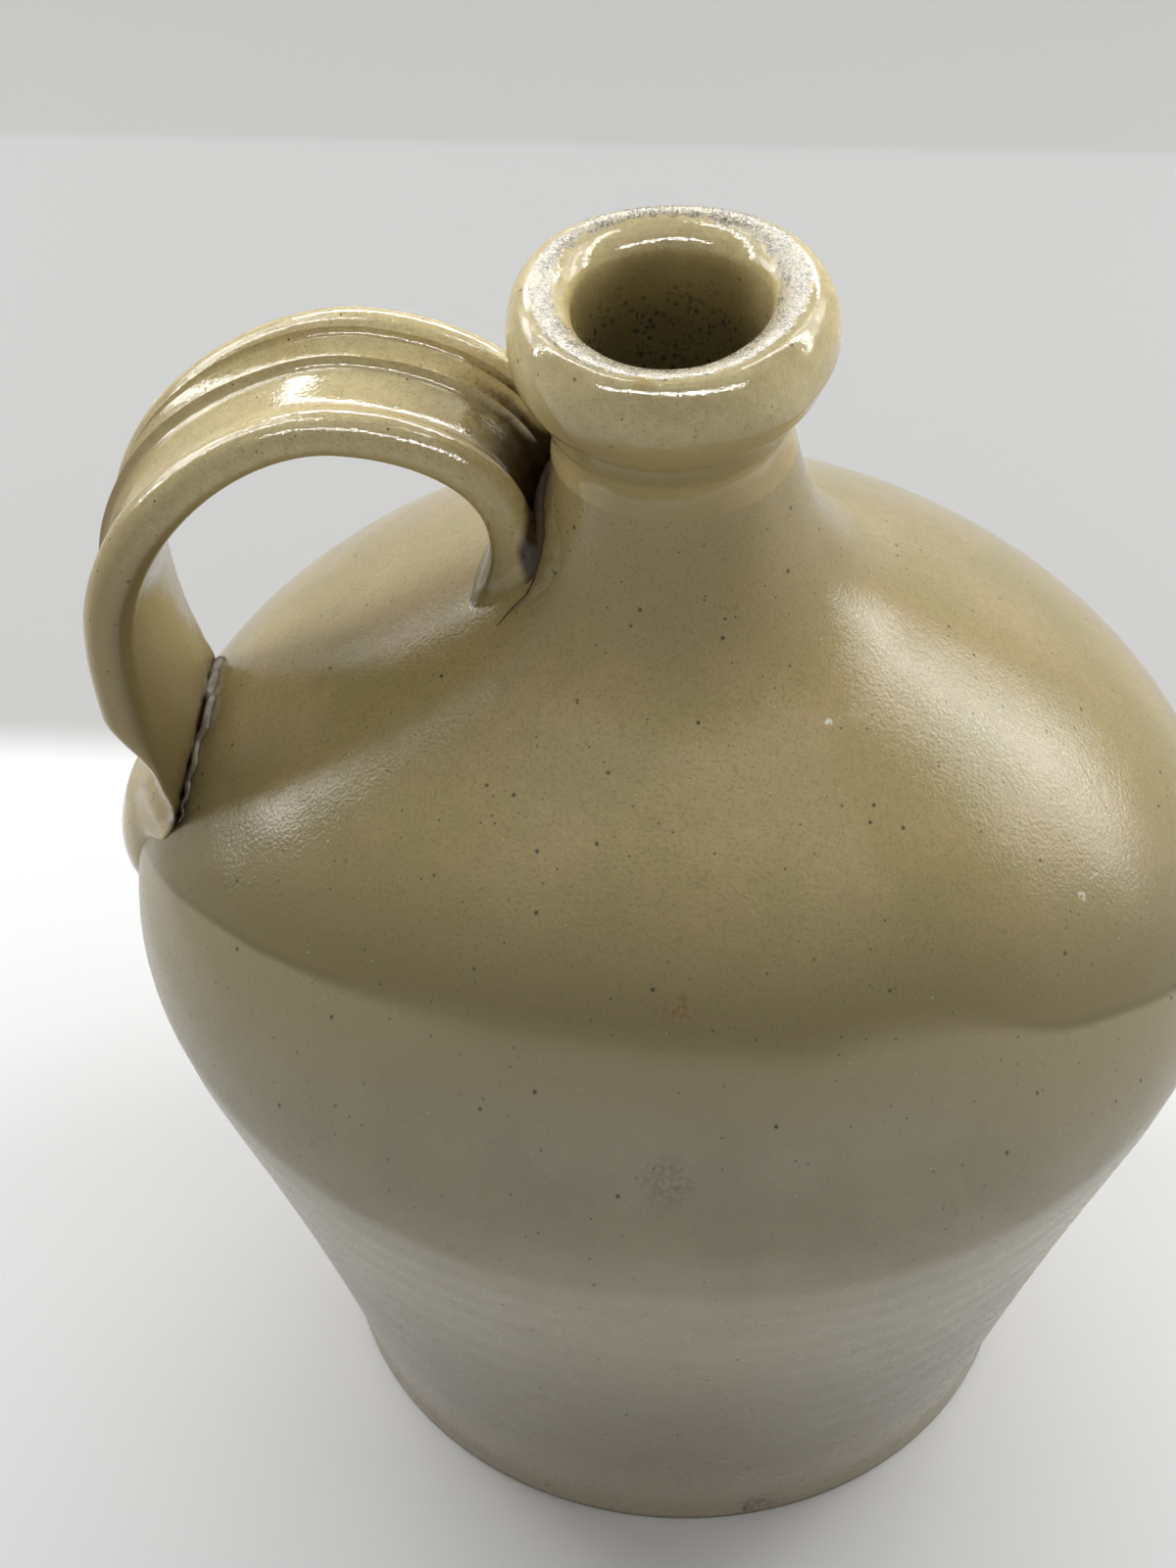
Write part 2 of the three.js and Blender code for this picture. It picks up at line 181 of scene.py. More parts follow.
# Colours, linear
HONEY_GREEN = (0.425, 0.345, 0.145)
HONEY_PINK = (0.49, 0.375, 0.172)
HONEY_DEEP = (0.36, 0.275, 0.12)
STRAW = (0.62, 0.525, 0.265)
STRAW_PINK = (0.60, 0.49, 0.25)
OLIVE = (0.215, 0.172, 0.074)
DIP_EDGE = (0.17, 0.135, 0.058)
RUN_DOWN = (0.325, 0.27, 0.155)
CREAM = (0.345, 0.305, 0.21)
# Cream in the painted shade of the lower wall.
CREAM_IN_PAINTED_SHADE = (0.24, 0.208, 0.145)
CREAM_GREEN = (0.315, 0.28, 0.19)
MOSS = (0.25, 0.24, 0.155)
FOOT_PINK = (0.36, 0.31, 0.225)
OLIVE_DARK = (0.16, 0.13, 0.06)
IRON = (0.05, 0.04, 0.025)
RUST = (0.22, 0.12, 0.035)
AMBER = (0.42, 0.27, 0.06)
BROWN = (0.045, 0.026, 0.010)
SOOT = (0.045, 0.042, 0.04)
CHALK = (0.80, 0.77, 0.66)
BISCUIT = (0.50, 0.44, 0.30)
GRIT = (0.07, 0.058, 0.04)
# Glaze inside the bore: its own darker colour, deepened by painted shade.
BORE = (0.26, 0.20, 0.08)
SLIP_BROWN = (0.08, 0.055, 0.025)
SLIP_GREY = (0.17, 0.14, 0.08)
PAPER = (0.88, 0.885, 0.89)
# Paper colours: brighter in front by painted light, darker behind by painted shade of the box's back wall
# and the room beyond.
PAPER_PAINTED_LIGHT = (0.96, 0.965, 0.97)
PAPER_PAINTED_SHADE = (0.50, 0.50, 0.495)
PAPER_TOP_PAINTED_SHADE = (0.45, 0.45, 0.43)
PAPER_FOLD = (0.5, 0.5, 0.52)

# Edge of the honey glaze: a plane tilted toward the front, with a hump on the right and small waves
DIP_HEIGHT = 133.3
DIP_SLOPE = 0.44
DIP_ANGLE = math.radians(-97)
DIP_HUMP = 4.5
DIP_HUMP_PLACE = 47
DIP_HUMP_WIDTH = 30
DIP_WAVE = 3.2
DIP_SOFTNESS = (0.8, 4.0)
DIP_SIDES = (40, 80)
DIP_LINE = 0.8
DIP_LINE_WIDTH = 1.8
RUN_DOWN_START = 2
RUN_DOWN_LENGTH = 22
RUN_DOWN_MORE = 10

# Where colours begin and are full, in heights or in heights over the glaze's edge
# The honey darkens toward its edge: partly the glaze's own darker edge, partly painted shade where the
# belly turns down.
HONEY_DARKENS = (40, 0)
NECK_DARKENS = (206, 224)
GRAIN_GROWS = (-1, 6)
GLOSS_GROWS = (-2, 8)
# Painted shade: the cream glaze darkens toward the bottom of the lower wall.
PAINTED_LOW_SHADE = (105, 50)
FOOT_TURNS_PINK = (36, 4)
BOTTOM_DARKENS = (2.2, 0.6)
# Painted shade down the strap's leg and on the inner face of its lower part.
PAINTED_LEG_SHADE = (250, 205)
PAINTED_INNER_LEG_SHADE = (236, 216)
# Painted shade on the lower roll of the lip, which faces down.
PAINTED_LIP_UNDER_SHADE = (273, 261)
LIP_MEETS_NECK = (262, 254)
# Band of painted shade in the tooled cove under the lip.
COVE_SHADE_LOW = (250, 252.5)
COVE_SHADE_HIGH = (260, 256.5)
BORE_DARKENS = (276, 270)
# Deeper in the bore the colour goes to OLIVE_DARK as painted shade.
PAINTED_BORE_SHADE = (268, 256)
SOOT_GROWS = (274, 258)

# Fine orange peel, slow waves and other bumps, as scale of their noise and depth
PEEL_SCALE = 1250
PEEL_DEPTH = 0.09
SLOW_DEPTH = 0.13
GRAIN_SCALE = 1500
PIT_DEPTH = 0.2
SLIP_DEPTH = 0.1
PAPER_DEPTH = 0.02

# Spots as (cell spacing, radius, share of cells) and iron specks also with their strength
HALOS = (7, 0.75, 0.35)
# White pin specks: painted glints of tiny bumps in the glaze.
PAINTED_PIN_GLINTS = (3.1, 0.2, 0.25)
MOSS_SPOTS = (3.4, 0.7, 0.45)
SOOT_SPOTS = (2.2, 0.8, 0.5)
GRIT_SPOTS = (1.3, 0.45, 0.5)
# White specks on the worn ring: partly white grit, partly painted glints.
CHALK_AND_GLINT_SPOTS = (0.9, 0.4, 0.4)
SPECKS = (
    (1.1, 0.17, 0.35, 0.7),
    (2.6, 0.34, 0.4, 0.85),
    (5.5, 0.6, 0.45, 0.95),
)

# Marks on the body: round ones as ((azimuth in degrees, height), radius, blur, colour, strength),
# lines as (start, end, width, colour, strength)
ROUND_MARKS = (
    ((-89.4, 177.9), 2.4, 1.4, RUST, 0.75),
    ((-90.5, 155.0), 4.5, 2.5, SOOT, 0.28),
    ((-51.2, 205.4), 0.8, 0.3, CHALK, 1.0),
    ((-31.1, 172.0), 0.9, 0.4, CHALK, 1.0),
    ((-12.5, 185.8), 0.5, 0.3, IRON, 1.0),
    ((-7.4, 182.0), 0.5, 0.3, IRON, 1.0),
    ((-75.1, 3.1), 4.0, 2.0, SOOT, 0.5),
)
LINE_MARKS = (
    ((-13.2, 180.4), (-17.4, 173.8), 0.26, IRON, 0.5),
    ((-26.2, 189.1), (-27.5, 186.0), 0.22, IRON, 0.45),
    ((-28.1, 172.4), (-22.2, 170.6), 0.22, CHALK, 0.25),
    ((-90.3, 119.1), (-85.4, 112.2), 0.22, MOSS, 0.6),
    ((-76.8, 111.7), (-72.4, 111.0), 0.3, CHALK, 0.35),
)
AMBER_AZIMUTH = -98.9
AMBER_PLACE = (27.6, 277.6)
AMBER_RADIUS = 1.6
AMBER_BLUR = 1.4

# Ring of grit on the lip: inner and outer radius, place of its hole, how much longer it is front to back
RING_RADII = (20.8, 25.4)
RING_HOLE = (-0.8, 2.4)
RING_STRETCH = 0.045
RING_RAGGED = 3.2
RING_BLUR = 0.5
RING_LOW = (272.5, 274)
BORE_RADII = (19.2, 17.8)

# Stains round the strap's joints, as (share, reach), and how far they climb over the body
BODY_STAINS = ((0.7, 1.8), (0.3, 7))
CORNER_STAINS = ((0.75, 1.6), (0.25, 6))
STRAP_STAIN = (6.5, 1.5)
CHANNEL_STAIN = (22, 5)
CHANNEL_STAIN_SHARE = 0.7
STAIN_LOWEST = 100
FAR_AWAY = 99

# Paper on the floor: places from front to back where it brightens by painted light, ends in painted shade,
# and folds
PAPER_BRIGHTENS = (100, -100)
PAPER_EDGE = (150, 170)
PAPER_EDGE_SLOPE = 0.06
PAPER_EDGE_WAVE = 30
PAPER_TOP_EDGE = (468, 476)
PAPER_FOLD_PLACE = 472
PAPER_FOLD_WIDTH = 3

# Fineness of the meshes
ARC_STEPS = 24
OUTLINE_SPACING = 0.25
LINE_SPACING = 0.2
POINTS_AT_ONCE = 4000
TURNS = 300
BODY_SPACING = 1.5
INSIDE_SPACING = 4.5
LIP_SPACING = 0.6
STRAP_SPACING = 1.1


# Curves and small sums

def cubic(start, pull_start, pull_end, end, steps=40):
    t = np.linspace(0, 1, steps + 1)[:, None]
    s = 1 - t
    shares = (s ** 3, 3 * s ** 2 * t, 3 * s * t ** 2, t ** 3)
    points = (start, pull_start, pull_end, end)
    return sum(share * np.array(point, float) for share, point in zip(shares, points))


def joined(*pieces):
    line = np.vstack([np.array(piece, float) for piece in pieces])
    apart = np.r_[True, np.hypot(*np.diff(line, axis=0).T) > 1e-6]
    return line[apart]


def along(line):
    return np.r_[0, np.cumsum(np.hypot(*np.diff(line, axis=0).T))]


def sampled(places, lengths, line):
    """Points at places along a line, whose own points are at the given lengths."""
    return np.stack([np.interp(places, lengths, column) for column in line.T], -1)


def evenly(line, spacing):
    lengths = along(line)
    places = np.linspace(0, lengths[-1], max(int(round(lengths[-1] / spacing)), 2) + 1)
    return sampled(places, lengths, line)


def within(value):
    return np.clip(value, 0, 1)


def smooth(value, low, high):
    t = within((value - low) / (high - low))
    return t * t * (3 - 2 * t)


def mix(a, b, share):
    return a + (b - a) * share


def heading(lean):
    """A way that leans outward from straight up."""
    return np.array([math.sin(lean), math.cos(lean)])


def unit(vectors):
    return vectors / np.maximum(np.linalg.norm(vectors, axis=-1, keepdims=True), 1e-12)


# Profiles of the thrown body

def body_outer():
    foot = (FOOT_RADIUS - FOOT_EDGE_ROUND, 0)
    corner = (FOOT_RADIUS, 0)
    band = np.array([FOOT_RADIUS, FOOT_BAND_HEIGHT])
    belly = (BELLY_RADIUS, BELLY_HEIGHT)
    belly_pull = (BELLY_RADIUS, BELLY_HEIGHT - BELLY_PULL)
    rise = SHOULDER_HEIGHT - BELLY_HEIGHT
    span = math.hypot(rise, BELLY_RADIUS - SHOULDER_RADIUS)
    slope = np.array([-math.cos(SHOULDER_SLOPE), math.sin(SHOULDER_SLOPE)])
    neck_span = NECK_HEIGHT - SHOULDER_HEIGHT
    shoulder = np.array([SHOULDER_RADIUS, SHOULDER_HEIGHT])
    return joined(
        cubic(foot, corner, corner, (FOOT_RADIUS, FOOT_EDGE_ROUND), 8),
        cubic(band, band + WALL_PULL * heading(WALL_LEAN), belly_pull, belly, 90),
        cubic(belly, (BELLY_RADIUS, BELLY_HEIGHT + rise * SHOULDER_RISE_SHARE),
              shoulder - slope * span * SHOULDER_SLOPE_SHARE, shoulder),
        cubic(shoulder, shoulder + slope * neck_span * NECK_FOOT_SHARE,
              (NECK_RADIUS, NECK_HEIGHT - neck_span * NECK_PULL_SHARE), (NECK_RADIUS, NECK_HEIGHT)),
    )


def rounded(start, corner, end, shares):
    """An arc that leaves its start and reaches its end on the lines to a corner."""
    start, corner, end = (np.array(point, float) for point in (start, corner, end))
    return cubic(start, mix(start, corner, shares[0]), mix(end, corner, shares[1]), end, ARC_STEPS)


def inset(line, distance):
    tangent = unit(np.gradient(line, axis=0))
    return line + np.c_[-tangent[:, 1], tangent[:, 0]] * distance


def body_inner(outer):
    inner = inset(outer, WALL)
    corner_height = FLOOR_THICKNESS + FLOOR_FILLET
    wall = inner[inner[:, 1] > corner_height]
    corner = (np.interp(corner_height, inner[:, 1], inner[:, 0]), corner_height)
    floor_edge = (corner[0] - FLOOR_FILLET, FLOOR_THICKNESS)
    bend = (corner[0] - FLOOR_FILLET * FLOOR_BEND_SHARE, FLOOR_THICKNESS)
    wall[-1] = (NECK_RADIUS - WALL, NECK_HEIGHT)
    return joined(wall[::-1], cubic(corner, bend, bend, floor_edge, 12), (0, FLOOR_THICKNESS))


def lip_outer():
    line_top = (THROAT[0], THROAT[1] + LINE_DEPTH * 2)
    line_low = (THROAT[0], THROAT[1] - LINE_DEPTH * 2)
    neck = (NECK_RADIUS, NECK_HEIGHT)
    neck_pull = (NECK_RADIUS - LINE_DEPTH, NECK_HEIGHT + LINE_PULL)
    cove_pull = (THROAT[0], COVE_FOOT[1] - LINE_PULL)
    cove_start = (COVE_RIDGE[0] - LINE_DEPTH, COVE_RIDGE[1] + LINE_DEPTH)
    return joined(
        cubic(neck, neck_pull, line_low, line_low, 10),
        (THROAT[0] - LINE_DEPTH, THROAT[1]),
        cubic(line_top, line_top, cove_pull, COVE_FOOT, 10),
        cubic(COVE_STEP, COVE_STEP, COVE_RIDGE, COVE_RIDGE, 6),
        cubic(cove_start, COVE_RIDGE, COVE, COVE, 6),
        rounded(COVE, (LIP_WIDEST[0], COVE[1]), LIP_WIDEST, UNDER_PULL_SHARES),
        rounded(LIP_WIDEST, (LIP_WIDEST[0], LIP_CROWN[1]), LIP_CROWN, CROWN_PULL_SHARES),
        rounded(LIP_CROWN, (MOUTH[0], LIP_CROWN[1]), MOUTH, MOUTH_PULL_SHARES),
    )


# From the turning axis to places in space and back

def axis_drift(height):
    return NECK_DRIFT * (np.clip(height, 0, None) / NECK_HEIGHT) ** NECK_DRIFT_POWER


def axis_tip(height):
    return math.tan(NECK_TIP) * smooth(height, SHOULDER_HEIGHT, NECK_HEIGHT)


def throat_hollow(angle, height):
    return THROAT_HOLLOW * (1 + np.cos(angle)) * np.exp(-((height - THROAT[1]) / THROAT_SPAN) ** 2)


def oval(angle):
    return 1 - OVAL_SHARE * np.sin(2 * angle)


def thrown(radius, angle, height):
    """Places in space of points thrown at a radius, an angle and a height."""
    reach = radius * oval(angle) - throat_hollow(angle, height)
    x = reach * np.cos(angle)
    y = reach * np.sin(angle)
    return np.stack([x - axis_drift(height), y, height + x * axis_tip(height)], -1)


def trued(points):
    """Radius, angle and height on the turning axis of places in space."""
    height = points[..., 2]
    for _ in range(3):
        x = points[..., 0] + axis_drift(height)
        height = points[..., 2] - x * axis_tip(height)
    angle = np.arctan2(points[..., 1], x)
    radius = (np.hypot(x, points[..., 1]) + throat_hollow(angle, height)) / oval(angle)
    return radius, angle, height


OUTLINE = evenly(joined(body_outer(), lip_outer()), OUTLINE_SPACING)
OUTLINE_NORMAL = np.c_[1, -1] * unit(np.gradient(OUTLINE, axis=0))[:, ::-1]
OUTLINE_ALONG = along(OUTLINE)


def depth_of(points):
    """Distance of places outside the thrown surface, negative inside it."""
    radius, _, height = trued(points)
    flat = np.stack([radius.ravel(), height.ravel()], -1)
    depths = []
    for part in np.array_split(flat, len(flat) // POINTS_AT_ONCE + 1):
        gap = part[:, None, :] - OUTLINE[None]
        nearest = np.argmin((gap ** 2).sum(-1), 1)
        depths.append((gap[np.arange(len(part)), nearest] * OUTLINE_NORMAL[nearest]).sum(-1))
    return np.concatenate(depths).reshape(radius.shape)


def outline_at(place):
    """Radius, height and outward normal at a place along the outline."""
    return [np.interp(place, OUTLINE_ALONG, column) for column in (*OUTLINE.T, *OUTLINE_NORMAL.T)]


def place_of_height(height):
    return np.interp(height, OUTLINE[:, 1], OUTLINE_ALONG)


def on_surface(place, angle, stand):
    """A place a little above the thrown surface, from its place along the outline and its angle."""
    radius, height, out, up = outline_at(place)
    return thrown(radius + out * stand, angle, height + up * stand)


def relief(angle, height):
    """Height of the faint throwing rings and waves on the outside of the body."""
    first, second, third, fourth = (height / length for length in WAVE_LENGTHS)
    rings = np.sin(height * 2 * np.pi / RING_PITCH + 1.7 * np.sin(angle + 0.4) + 0.6 * np.sin(3 * angle))
    rings = rings * (0.6 + 0.4 * np.sin(fourth + angle))
    slow = np.sin(3 * angle + first + 0.8) + 0.6 * np.sin(5 * angle - second)
    slow = slow + 0.5 * np.sin(third + 2 * angle)
    return RING_HEIGHT * rings + WAVE_HEIGHT * slow / 2


# Meshes

def grid_faces(rows, columns, closed_rows=False, closed_columns=True):
    row_count = rows if closed_rows else rows - 1
    column_count = columns if closed_columns else columns - 1
    row, column = np.meshgrid(np.arange(row_count), np.arange(column_count), indexing="ij")
    below = (row + 1) % rows
    beside = (column + 1) % columns
    corners = ((row, column), (row, beside), (below, beside), (below, column))
    quads = np.stack([across * columns + turn for across, turn in corners], -1)
    return quads.reshape(-1, 4).tolist()


def capped(rows, start, end):
    """Places and faces of closed rows of points, with a point at either end."""
    count, columns = rows.shape[:2]
    places = np.vstack([rows.reshape(-1, 3), start, end])
    first = count * columns
    top = first - columns
    faces = grid_faces(count, columns)
    faces += [[first, (i + 1) % columns, i] for i in range(columns)]
    faces += [[first + 1, top + i, top + (i + 1) % columns] for i in range(columns)]
    return places, faces


def mesh_object(name, places, faces, sharp=math.radians(40)):
    mesh = bpy.data.meshes.new(name)
    mesh.from_pydata((np.asarray(places).reshape(-1, 3) * MM).tolist(), [], faces)
    mesh.validate()
    mesh.shade_smooth()
    mesh.set_sharp_from_angle(angle=sharp)
    obj = bpy.data.objects.new(name, mesh)
    bpy.context.scene.collection.objects.link(obj)
    return obj


def with_value(obj, name, values):
    """Keeps one number for each vertex, which the materials read."""
    layer = obj.data.attributes.new(name, "FLOAT", "POINT")
    layer.data.foreach_set("value", np.asarray(values, np.float32).ravel())


def turned_object(name, profile, shaped):
    """A closed profile turned round the axis; profile ends on the axis become a single point."""
    angle = np.linspace(0, 2 * np.pi, TURNS, endpoint=False)
    on_axis = profile[:, 0] == 0
    rings = profile[~on_axis]
    radius, height = shaped(rings[:, :1], angle, rings[:, 1:])
    rows = thrown(radius, angle, height)
    if on_axis.any():
        start, end = (thrown(0, 0, level) for level in profile[on_axis][:, 1])
        return mesh_object(name, *capped(rows, start, end))
    return mesh_object(name, rows, grid_faces(len(rings), TURNS, closed_rows=True))


def body_object():
    outer = evenly(body_outer(), BODY_SPACING)
    inner = body_inner(evenly(body_outer(), INSIDE_SPACING))
    profile = joined((0, 0), outer, inner)
    outside_rows = len(outer)

    def shaped(radius, angle, height):
        fade = smooth(height, 0, FOOT_FADE) * smooth(height, NECK_HEIGHT, NECK_HEIGHT - NECK_FADE)
        outside = (np.arange(len(radius)) < outside_rows)[:, None]
        return radius + relief(angle, height) * fade * outside, height

    return turned_object("flask_body", profile, shaped)


def lip_object():
    outer = evenly(lip_outer(), LIP_SPACING)
    bore_end = (NECK_RADIUS - WALL, NECK_HEIGHT)
    bore_pulls = ((MOUTH[0], MOUTH[1] - BORE_PULLS[0]), (bore_end[0], bore_end[1] + BORE_PULLS[1]))
    bore = cubic(MOUTH, *bore_pulls, bore_end, 30)

    def shaped(radius, angle, height):
        free = smooth(height, NECK_HEIGHT, COVE_FOOT[1])
        collar = smooth(height, COVE[1], LIP_WIDEST[1])
        crown = smooth(height, LIP_WIDEST[1], LIP_CROWN[1])
        back = within(np.sin(angle)) ** 2
        front = within(-np.sin(angle)) ** 2
        right = within(np.cos(angle - LIP_BULGE_ANGLE)) ** 4
        pinch = within(np.cos(angle + LIP_BULGE_ANGLE)) ** 4 * smooth(height - COVE[1], *PINCH_RISES)
        first, second = (height / length for length in LIP_WAVE_LENGTHS)
        slow = np.sin(3 * angle + 0.9) + 0.6 * np.sin(5 * angle + first) + 0.3 * np.sin(9 * angle - second)
        radius = radius + (LIP_WAVE * slow - LIP_PINCH * pinch) * free + FRONT_SPREAD * front * collar
        height = height + (LIP_BULGE * right - LIP_DROP * back) * collar - FRONT_DROP * front * crown
        return radius, height

    return turned_object("rolled_lip", joined(outer, bore)[:-1], shaped)


# Strap handle

def strap_line():
    root, top, leg, press = (np.array(p) for p in (STRAP_ROOT, STRAP_TOP, STRAP_LEG, STRAP_PRESS))
    return joined(
        cubic(root, root + heading(ROOT_LEAN) * ROOT_PULL, top - (TOP_PULLS[0], 0), top, 80),
        cubic(top, top + (TOP_PULLS[1], 0), leg + (0, LEG_PULLS[0]), leg, 80),
        cubic(leg, leg - (0, LEG_PULLS[1]), press + heading(PRESS_LEAN) * PRESS_PULL, press, 60),
    )


LINE = evenly(strap_line(), LINE_SPACING)
LINE_ALONG = along(LINE)
LINE_LENGTH = LINE_ALONG[-1]
LINE_WAY = unit(np.gradient(LINE, axis=0))

# Places along the strap from its root, and along the body's outline where the strap lies on it
ROOT_FREE = 27
PRESS_START = LINE_LENGTH - 19
PRESS_FULL = LINE_LENGTH - 4
DRAPE_START = LINE_LENGTH - 3
DRAPE_FULL = LINE_LENGTH + 7
CONTACT = LINE_LENGTH + 3
CONTACT_DOWN = place_of_height(157.5)
TIP_DOWN = place_of_height(117.5)
TONGUE_ANGLE = math.pi - math.radians(3.2)
TONGUE_HEIGHTS = (8.2, 5.4)
TONGUE_SINK = 0.5

# Section: flutes between crests, each as (start, lowest place, end, floor, start crest, end crest,
# power toward the start, power toward the end, steps). Places are shares of half the spacing of the
# rolls, heights are over the middle line.
ROLL_TURN = math.radians(130)
ROLL_SHOULDER = ROLL_RADIUS * math.sin(ROLL_TURN)
FLUTES = (
    (0.82, 0.36, -0.195, 1.5, ROLL_SHOULDER, 3.6, 3.2, 12.0, 30),
    (-0.195, -0.31, -0.584, 1.6, 3.6, 3.5, 2.0, 1.4, 18),
    (-0.584, -0.7, -0.82, 1.8, 3.5, ROLL_SHOULDER, 1.8, 2.0, 14),
)
ROLL_STEPS = 22
UNDER_STEPS = 16
UNDER_SQUARE = 0.62
UNDER_CROWN = 0.9
SWELL = 2.2
UNDER_SWELL = 1.6
SWELL_SHARES = (0.42, 0.66)
THUMB_LEFT_SHARE = 0.2
THUMB_EDGE_SHARES = (0.4, 0.93)
CHANNEL_EDGE_SHARE = 0.9
UPPER_SIDE = (-1, 2)
UPPER_FACE = (0, 1.5)
UNDER_FACE = (0, -3)
CHANNEL_FLOOR = (3.4, 2.0)

# Fillets of the root, its swollen front roll, and the parts of the root that they are on
ROOT_FILLETS = (0.9, 2.4, 0.8)
ROOT_SINK = 0.9
ROOT_RIM_SINK = 0.12
ROOT_SWELL = 8.5
ROOT_SWELL_PLACES = (21, 1)
ROOT_SWELL_SHARES = (0.35, 0.95)
ROOT_OUTER = (-4, 4)
ROOT_FRONT = (9, 15)
ROOT_START = -6

# Rows near the root and the lower joint, where the strap meets the body
ROOT_ROWS = 60
CORNER_ROWS = 130
MEETING_GAPS = (0.8, 1.4)
MEETING_HEIGHTS = (3, -1)

# Rolls of slip and the crack, as (radius at the start, radius at the end, stand over the body)
ROOT_ROLL = (1.3, 1.1, 0.2)
CRACK_ROLL = (0.45, 0.12, 0)
CORNER_ROLL = (1.7, 0.6, 0.35)

# Crack at the front corner of the root and the edge of the clay smeared over it, as places in space
CRACK_LINE = (
    (-28.7, -4.9, 227.0), (-28.4, -10.0, 224.2), (-29.9, -13.3, 219.2),
    (-31.4, -14.4, 216.7), (-34.3, -14.6, 213.5), (-37.1, -16.0, 210.3),
)
SMEAR_LINE = (
    (-26.3, -5.0, 239.9), (-25.7, -9.0, 233.7), (-24.4, -12.9, 231.0),
    (-23.8, -16.3, 226.8), (-26.2, -17.0, 221.7),
)
SMEAR_RISE = 0.7
SMEAR_SINK = 0.12
SMEAR_COUNT = 26
ROLL_COUNT = 60


def strap_section():
    """Section of the strap: shares of half the spacing, lengths beyond them, and heights."""
    points = []

    def add_roll(side, start, end):
        for turn in np.linspace(start, end, ROLL_STEPS):
            sine = math.sin(turn)
            square = -abs(sine) ** UNDER_SQUARE if sine < 0 else sine
            points.append((side, ROLL_RADIUS * math.cos(turn), ROLL_RADIUS * square))

    add_roll(1, -math.pi / 2, ROLL_TURN)
    for start, lowest, end, floor, crest, next_crest, power, next_power, steps in FLUTES:
        for share in mix(start, end, np.linspace(0, 1, steps + 1)[1:]):
            edge, top, bend = (start, crest, power) if share > lowest else (end, next_crest, next_power)
            points.append((share, 0, floor + (top - floor) * ((share - lowest) / (edge - lowest)) ** bend))
    add_roll(-1, math.pi - ROLL_TURN, math.pi * 1.5)
    for share in np.linspace(-1, 1, UNDER_STEPS + 2)[1:-1]:
        points.append((share, 0, -ROLL_RADIUS - UNDER_CROWN * (1 - share * share)))
    return np.array(points).T


SECTION_SHARE, SECTION_EXTRA, SECTION_HEIGHT = strap_section()
THICKNESS = ROLL_RADIUS * 2


def strap_half_spacing(share):
    return mix(*ROLL_SPACINGS, np.clip(share, 0, 1.1) ** ROLL_SPACING_POWER) / 2


def strap_free(place):
    """Places in space of the free strap: a row for each place, a column for each section point."""
    place = np.atleast_1d(place)[:, None] if np.ndim(place) < 2 else place
    inside = np.clip(place, 0, LINE_LENGTH)
    way = unit(sampled(inside, LINE_ALONG, LINE_WAY))
    centre = sampled(inside, LINE_ALONG, LINE) + way * (place - inside)[..., None]
    share = place / LINE_LENGTH
    half = strap_half_spacing(share)
    wobble = sum(wave * np.sin(place / length + start) for wave, length, start in RIDGE_WAVES)
    reach = SECTION_SHARE * half + SECTION_EXTRA
    width_share = np.abs(reach) / (half + ROLL_RADIUS)
    upper = smooth(SECTION_HEIGHT, *UPPER_SIDE)
    ridge = np.exp(-((SECTION_SHARE - RIDGE_SHARE) / RIDGE_SPREAD_SHARE) ** 2)
    ridge = ridge * (np.abs(SECTION_SHARE) < RIDGE_END_SHARE) * (SECTION_HEIGHT > 0)
    high = SECTION_HEIGHT + ridge * wobble
    press = smooth(place, PRESS_START, PRESS_FULL) * smooth(width_share, *THUMB_EDGE_SHARES)
    high = (high + ROLL_RADIUS) * mix(1, THUMB_LEFT_SHARE, press) - ROLL_RADIUS
    bulge = within(1 - width_share ** 2) * smooth(share, *SWELL_SHARES)
    high = high + bulge * mix(-UNDER_SWELL, SWELL, upper)
    front_roll = smooth(SECTION_SHARE, *ROOT_SWELL_SHARES) * upper
    high = high + ROOT_SWELL * front_roll * smooth(place, *ROOT_SWELL_PLACES)
    twist = mix(*STRAP_TWISTS, 1 - (1 - within(share)) ** 2)
    flat = np.array([-math.cos(STRAP_TURN), -math.sin(STRAP_TURN), 0])
    side = np.array([math.sin(STRAP_TURN), -math.cos(STRAP_TURN), 0])
    up = np.array([0, 0, 1.0])
    outward = np.stack([-way[..., 1], way[..., 0]], -1)
    rise = high * np.cos(twist) + reach * np.sin(twist)
    sideways = reach * np.cos(twist) - high * np.sin(twist) + mix(*STRAP_DRIFTS, share)
    plane = centre + outward * rise[..., None]
    return plane[..., :1] * flat + plane[..., 1:] * up + sideways[..., None] * side


